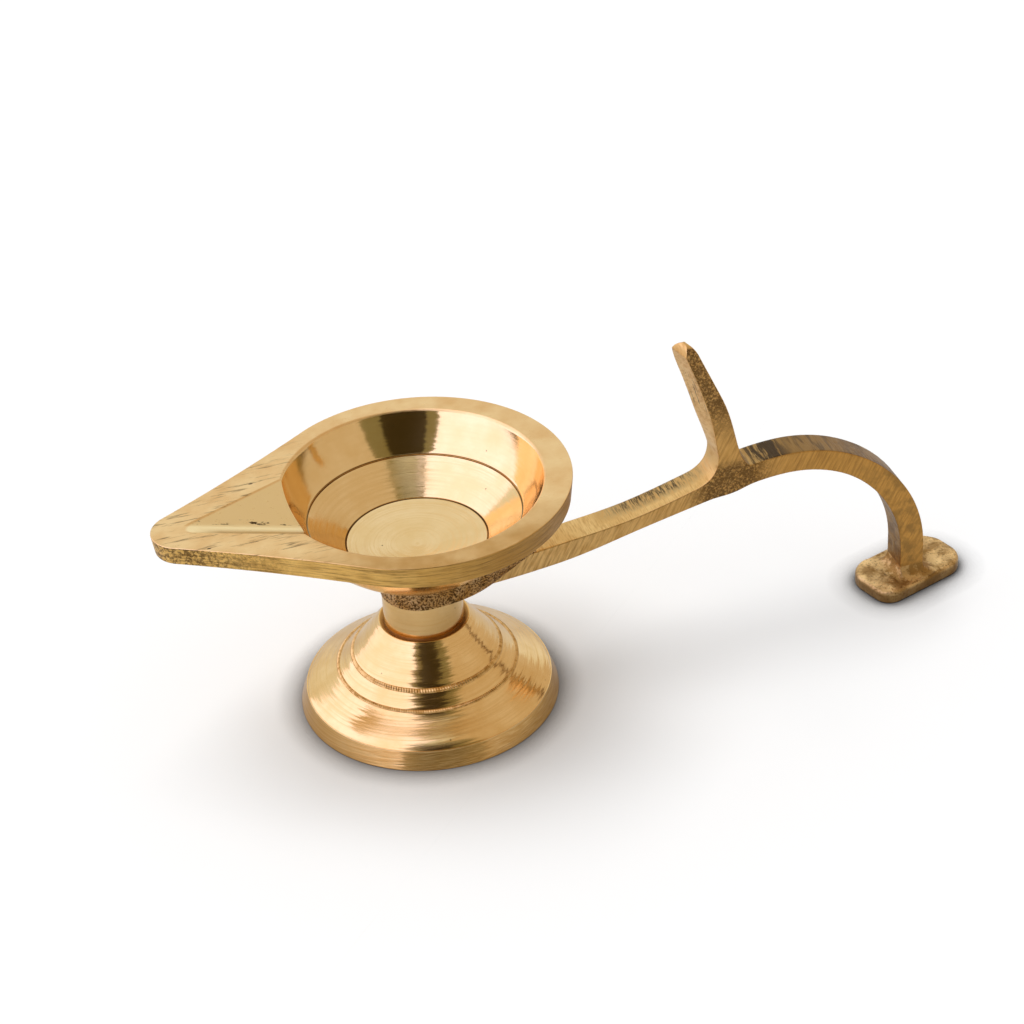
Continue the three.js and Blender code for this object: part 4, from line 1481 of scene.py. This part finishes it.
def strap_side_finish(name):
    material, tree, shader = new_brass(name)
    place = lamp_place(tree)
    x, _, z = parts(tree, place)
    slanted = stretched(tree, leaning(tree, place, GRINDING_SLANT), (1.9, 0.3, 0.16))
    ground = noise_at(tree, slanted, scale=1.3, detail=4.0, roughness=0.65)
    worn = noise_at(tree, place, scale=0.35, detail=4.0)
    colour = mixed(tree, ramp(tree, x, *STRAP_DEEPENS), BRASS_DEEP, STRAP_DEEP)
    colour = mixed(tree, ramp(tree, ground, 0.42, 0.66, end=0.65), colour, STRAP_SCRATCH)
    colour = mixed(tree, ramp(tree, worn, 0.5, 0.7, end=0.4), colour, BRASS_OLD)
    patches = noise_at(tree, place, scale=0.3, detail=5.0, roughness=0.65)
    on_leg = times(tree, ramp(tree, x, *LEG_SIDE), ramp(tree, patches, 0.45, 0.6, end=0.75))
    colour = mixed(tree, on_leg, colour, LEG_PATCH)
    grain = noise_at(tree, place, scale=2.1, detail=4.0, roughness=0.75)
    under_rest = times(tree, between(tree, x, *UNDER_REST), ramp(tree, z, *UNDER_REST_TOP))
    up_rest = times(tree, ramp(tree, z, *UP_THE_REST), between(tree, x, *BESIDE_THE_REST))
    raw = times(tree, larger(tree, under_rest, up_rest), ramp(tree, grain, 0.58, 0.46))
    colour = mixed(tree, times(tree, raw, 0.85), colour, TARNISH)
    colour = mixed(tree, pits(tree, place, spacing=4.2, size=0.28, share=0.16), colour, SOOT)
    rough = spread(tree, ground, 0.28, 0.44)
    connect(tree, shader, colour, rough, minus(tree, ground, times(tree, raw, 0.8)), depth=0.10)
    return material


finishes["strap side"] = strap_side_finish("ground_strap_side")

# %% [markdown]
# ## The filed top of the strap
#
# The top was filed across, and heat and fingers have marked it since: the far half is
# scorched before the thumb rest, stains run down behind it and over the arch, a few
# strokes lie on the front of the rest, and dark patches cover the leg. The underside of
# the strap has the same finish.

# %% Filed strap top
TOP_PALE = (0.86, 0.58, 0.23, 1)
TOP_DEEP = (0.76, 0.47, 0.16, 1)
ARCH_BROWN = (0.26, 0.14, 0.035, 1)
LEG_DARK = (0.16, 0.085, 0.025, 1)
STAIN_SLANT = 20
FAR_HALF = (-1.5, 0.8)
SCORCHED = (38, 56, 4)
BEHIND_THE_REST = (65, 73, 1.5)
ON_THE_ARCH = (74, 92, 3)
ARCH_BROWNS = (58, 72)
BELOW_THE_REST = (44, 40)
REST_STROKES = (50, 59, 2)
REST_FRONT_SIDE = (63, 60)
ON_THE_LEG = (82, 90)


def strap_marks(tree, place, file_marks):
    x, y, z = parts(tree, place)
    on_strap = ramp(tree, z, *BELOW_THE_REST)
    scorched = times(tree, between(tree, x, *SCORCHED), ramp(tree, y, *FAR_HALF))
    scorch = times(tree, scorched, ramp(tree, file_marks, 0.62, 0.42))
    running = stretched(tree, leaning(tree, place, STAIN_SLANT), (1.3, 0.16, 0.3))
    stains = noise_at(tree, running, scale=1.0, detail=4.0, roughness=0.6)
    behind = times(tree, between(tree, x, *BEHIND_THE_REST), ramp(tree, stains, 0.42, 0.52))
    on_arch = times(tree, between(tree, x, *ON_THE_ARCH), ramp(tree, stains, 0.5, 0.62, end=0.55))
    dark = times(tree, larger(tree, scorch, larger(tree, behind, on_arch)), on_strap)
    along_rest = stretched(tree, place, (0.3, 1.6, 0.35))
    strokes = noise_at(tree, along_rest, scale=1.0, detail=4.0, roughness=0.7)
    front = times(tree, between(tree, z, *REST_STROKES), ramp(tree, x, *REST_FRONT_SIDE))
    return larger(tree, dark, times(tree, front, ramp(tree, strokes, 0.56, 0.64)))


def strap_top_finish(name):
    material, tree, shader = new_brass(name)
    place = lamp_place(tree)
    x, _, z = parts(tree, place)
    across = stretched(tree, place, (2.3, 0.22, 0.5))
    file_marks = noise_at(tree, across, scale=1.5, detail=4.0, roughness=0.65)
    colour = brass_colour(tree, place, TOP_PALE, TOP_DEEP, size=5.0)
    colour = mixed(tree, ramp(tree, file_marks, 0.46, 0.64, end=0.5), colour, BRASS_OLD)
    brown = times(tree, ramp(tree, x, *ARCH_BROWNS, end=0.9), ramp(tree, z, *BELOW_THE_REST))
    colour = mixed(tree, brown, colour, ARCH_BROWN)
    colour = mixed(tree, times(tree, strap_marks(tree, place, file_marks), 0.9), colour, SOOT)
    patches = noise_at(tree, place, scale=0.34, detail=5.0, roughness=0.65)
    on_leg = times(tree, ramp(tree, x, *ON_THE_LEG), ramp(tree, patches, 0.42, 0.56))
    colour = mixed(tree, times(tree, on_leg, 0.8), colour, LEG_DARK)
    rough = spread(tree, file_marks, 0.3, 0.48)
    connect(tree, shader, colour, rough, minus(tree, file_marks, on_leg), depth=0.06)
    return material


finishes["strap top"] = strap_top_finish("filed_strap_top")

# %% [markdown]
# ## Cast brass
#
# The eye and the pad still have the skin that the sand gave them: dull, with a grain that
# holds tarnish in its hollows. The pad is pale on top, and painted shade darkens it round
# the leg and down its side.

# %% Cast eye and pad
CAST_PALE = (0.66, 0.45, 0.22, 1)
PAD_PALE = (0.97, 0.67, 0.30, 1)
PAD_DEEP = (0.36, 0.20, 0.055, 1)
PAD_SIDE_SHADE_COLOUR = (0.20, 0.11, 0.035, 1)
LEG_SHADE = (7.5, 4.5)
PAD_SIDE_SHADE_SPAN = (2.7, 1.7)


def cast_finish(name):
    material, tree, shader = new_brass(name)
    place = lamp_place(tree)
    grain = noise_at(tree, place, scale=2.6, detail=3.0, roughness=0.6)
    colour = brass_colour(tree, place, CAST_PALE, BRASS_OLD, size=3.0)
    colour = mixed(tree, ramp(tree, grain, 0.54, 0.45), colour, TARNISH)
    connect(tree, shader, colour, ramp(tree, grain, 0.4, 0.6, 0.65, 0.4), grain, depth=0.3)
    return material


def pad_finish(name):
    material, tree, shader = new_brass(name)
    place = lamp_place(tree)
    away = length(tree, vectors(tree, "SUBTRACT", place, (LEG_X, 0, PAD_THICKNESS)))
    patches = noise_at(tree, place, scale=0.26, detail=5.0, roughness=0.65)
    grain = noise_at(tree, place, scale=1.8, detail=4.0, roughness=0.7)
    # painted shade round the foot of the leg, with dark patches added over it
    shade = ramp(tree, away, *LEG_SHADE, end=0.6)
    shade = plus(tree, shade, ramp(tree, patches, 0.43, 0.58, end=0.8))
    colour = mixed(tree, shade, PAD_PALE, PAD_DEEP)
    # painted shade down the pad's side
    side_shade = ramp(tree, parts(tree, place)["Z"], *PAD_SIDE_SHADE_SPAN, end=0.85)
    colour = mixed(tree, side_shade, colour, PAD_SIDE_SHADE_COLOUR)
    colour = mixed(tree, ramp(tree, grain, 0.46, 0.36, end=0.6), colour, TARNISH)
    rough = ramp(tree, patches, 0.35, 0.65, 0.38, 0.55)
    connect(tree, shader, colour, rough, plus(tree, patches, times(tree, grain, 0.1)), depth=0.5)
    return material


finishes["cast"] = cast_finish("cast_brass")
finishes["pad"] = pad_finish("cast_pad")

# %% [markdown]
# ## Which face gets which finish
#
# A piece holds a list of materials, and each face names one by its number. The bowl's
# rim, channel and side are found by where their faces are and which way they look. The
# casting noted the finish of each part when it was joined, so only the strap's top and
# underside are still to be told from its sides.

# %% Dress the pieces
RIM, RIM_SIDE = 1, 2
RIM_LAYER = 0.3
CHANNEL_FACES = (-20.5, 9)
CHANNEL_LEAST_RISE = 0.6
SIDE_FACES = (26, 43)
SIDE_MOST_RISE = 0.4
STRAP_MOST_ASIDE = 0.7


def dress(piece, *names):
    kept = [polygon.material_index for polygon in piece.data.polygons]
    piece.data.materials.clear()
    for name in names:
        piece.data.materials.append(finishes[name])
    for polygon, index in zip(piece.data.polygons, kept):
        polygon.material_index = index


def give(piece, index, chosen):
    for polygon in piece.data.polygons:
        centre = (polygon.center - Vector((AXIS_X, 0, 0))) / MM
        if chosen(centre, polygon.normal, polygon.material_index):
            polygon.material_index = index


def on_rim(centre, normal, index):
    return centre.z > RIM_TOP - RIM_LAYER


def on_channel(centre, normal, index):
    spout_x, half_width = CHANNEL_FACES
    return centre.x < spout_x and abs(centre.y) < half_width and normal.z > CHANNEL_LEAST_RISE


def on_rim_side(centre, normal, index):
    least_radius, least_height = SIDE_FACES
    outside = centre.xy.length > least_radius and centre.z > least_height
    return outside and abs(normal.z) < SIDE_MOST_RISE


def on_strap_top(centre, normal, index):
    return index == STRAP_SIDE and abs(normal.y) < STRAP_MOST_ASIDE


dress(foot, "turned")
for line in milled_lines:
    dress(line, "milled")
dress(stud, "turned")
dress(bowl, "polished", "rim", "edge")
give(bowl, RIM, on_rim)
give(bowl, RIM, on_channel)
give(bowl, RIM_SIDE, on_rim_side)
dress(handle, "strap side", "cast", "pad", "strap top")
give(handle, STRAP_TOP, on_strap_top)
print("finishes:", ", ".join(finishes))


# %% [markdown]
# ## The floor
#
# The lamp stands on a white floor that runs on to the horizon. Where brass and floor
# nearly touch, the floor is darkened by ambient occlusion, which draws the thin line of
# shade under the foot and the pad. In the brass the floor is dimmer than to the eye,
# since a real studio isn't white all round.

# %% Floor
FLOOR_SIDE = 12.0
FLOOR_ROUGHNESS = 0.9
FLOOR_COLOUR = (0.9, 0.9, 0.9, 1)
FLOOR_IN_BRASS = (0.62, 0.60, 0.58, 1)
BLACK = (0, 0, 0, 1)
CONTACT_REACH = 0.006
CONTACT_DEPTH = 3.0
CONTACT_SAMPLES = 4


def make_floor():
    shape = bmesh.new()
    bmesh.ops.create_grid(shape, x_segments=1, y_segments=1, size=FLOOR_SIDE / 2)
    floor = put_in_scene(shape, "floor")
    material = bpy.data.materials.new("pale floor")
    material.use_nodes = True
    tree = material.node_tree
    shader = next(node for node in tree.nodes if node.type == "BSDF_PRINCIPLED")
    shader.inputs["Roughness"].default_value = FLOOR_ROUGHNESS
    path = add_node(tree, "ShaderNodeLightPath", {}).outputs
    contact = {"Distance": CONTACT_REACH}
    corner = add_node(tree, "ShaderNodeAmbientOcclusion", contact, samples=CONTACT_SAMPLES)
    open_share = maths(tree, "POWER", corner.outputs["AO"], CONTACT_DEPTH)
    shaded = mixed(tree, open_share, BLACK, FLOOR_COLOUR)
    colour = mixed(tree, path["Is Glossy Ray"], shaded, FLOOR_IN_BRASS)
    tree.links.new(colour, shader.inputs["Base Color"])
    floor.data.materials.append(material)
    return floor


floor = make_floor()
print(f"floor: {FLOOR_SIDE} m wide")

# %% [markdown]
# ## Sheets that the brass reflects
#
# Polished brass shows whatever stands round it. Curved sheets hang round the lamp, as
# they do in a photo studio: a dark one in a wider grey one over the camera draws the
# dark upright band on the foot and in the bowl, a bright one at the left gives the pale
# side, and a warm one at the right the browner side. Each is a stretch of a sphere, spun
# from an arc, and is seen only by the brass.

# %% Sheets
OLIVE_GREY = (0.24, 0.21, 0.11)
NEARLY_BLACK = (0.045, 0.032, 0.012)
WINDOW_WHITE = (1.5, 1.42, 1.9)
WARM_GREY = (0.66, 0.55, 0.43)
SHEETS = {
    "grey_sheet": {"middle": 6, "half_width": 34, "low": 0, "high": 70.5, "distance": 0.82},
    "dark_sheet": {"middle": 2.5, "half_width": 20, "low": 4, "high": 68, "distance": 0.8},
    "bright_sheet": {"middle": -72, "half_width": 58, "low": 0, "high": 80, "distance": 0.84},
    "warm_sheet": {"middle": 88, "half_width": 52, "low": 0, "high": 80, "distance": 0.86},
}
GLOWS = {
    "grey_sheet": OLIVE_GREY,
    "dark_sheet": NEARLY_BLACK,
    "bright_sheet": WINDOW_WHITE,
    "warm_sheet": WARM_GREY,
}
SHEET_STEPS = 40
SHEET_LIFT = 0.002


def glowing(name):
    material = bpy.data.materials.new(name)
    material.use_nodes = True
    tree = material.node_tree
    tree.nodes.clear()
    light = add_node(tree, "ShaderNodeEmission", {"Color": (*GLOWS[name], 1)})
    add_node(tree, "ShaderNodeOutputMaterial", {"Surface": light.outputs[0]})
    return material


def hang_sheet(name, middle, half_width, low, high, distance):
    shape = bmesh.new()
    path = arc((0, 0), distance, math.radians(low), math.radians(high), SHEET_STEPS)
    wire(shape, [Vector((0, -point.x, point.y + SHEET_LIFT)) for point in path])
    swing(shape, CAMERA_AZIMUTH + math.radians(middle - half_width))
    turn(shape, SHEET_STEPS, angle=math.radians(2 * half_width))
    move(shape, (AXIS_X, 0, 0))
    sheet = put_in_scene(shape, name)
    sheet.data.materials.append(glowing(name))
    sheet.visible_camera = False
    sheet.visible_diffuse = False
    sheet.visible_shadow = False
    return sheet


sheets = [hang_sheet(name, **setting) for name, setting in SHEETS.items()]
print("sheets:", ", ".join(sheet.name for sheet in sheets))

# %% [markdown]
# ## Lamp and sky
#
# One large, far lamp high behind the left gives the soft shadow at the front. It is so
# far that the floor is lit evenly, and it hides from the brass, where it would leave a
# white square. The sky is white to the camera and dimmer on the floor, so that the
# shadow keeps its depth.

# %% Lamp and sky
KEY_PLACE = (-0.88, 0.96, 4.4)
KEY_SIDE = 3.2
KEY_WATTS = 126.0
SKY_ON_FLOOR = 0.64
SKY_IN_BRASS = 0.86
WHITE = (1, 1, 1, 1)


def hang_key_lamp():
    data = bpy.data.lights.new("key", "AREA")
    data.shape = "SQUARE"
    data.size = KEY_SIDE
    data.energy = KEY_WATTS
    lamp = bpy.data.objects.new("key", data)
    lamp.location = KEY_PLACE
    lamp.rotation_mode = "QUATERNION"
    lamp.rotation_quaternion = Vector(KEY_PLACE).to_track_quat("Z", "Y")
    lamp.visible_glossy = False
    bpy.context.scene.collection.objects.link(lamp)


def make_sky():
    world = bpy.data.worlds.new("sky")
    world.use_nodes = True
    tree = world.node_tree
    back = next(node for node in tree.nodes if node.type == "BACKGROUND")
    back.inputs["Color"].default_value = WHITE
    path = add_node(tree, "ShaderNodeLightPath", {}).outputs
    strength = ramp(tree, path["Is Glossy Ray"], 0, 1, SKY_ON_FLOOR, SKY_IN_BRASS)
    strength = larger(tree, strength, path["Is Camera Ray"])
    tree.links.new(strength, back.inputs["Strength"])
    bpy.context.scene.world = world


hang_key_lamp()
make_sky()
bpy.context.scene.view_settings.view_transform = "Standard"
print(f"key lamp: {KEY_WATTS:.0f} W, {Vector(KEY_PLACE).length:.1f} m away")
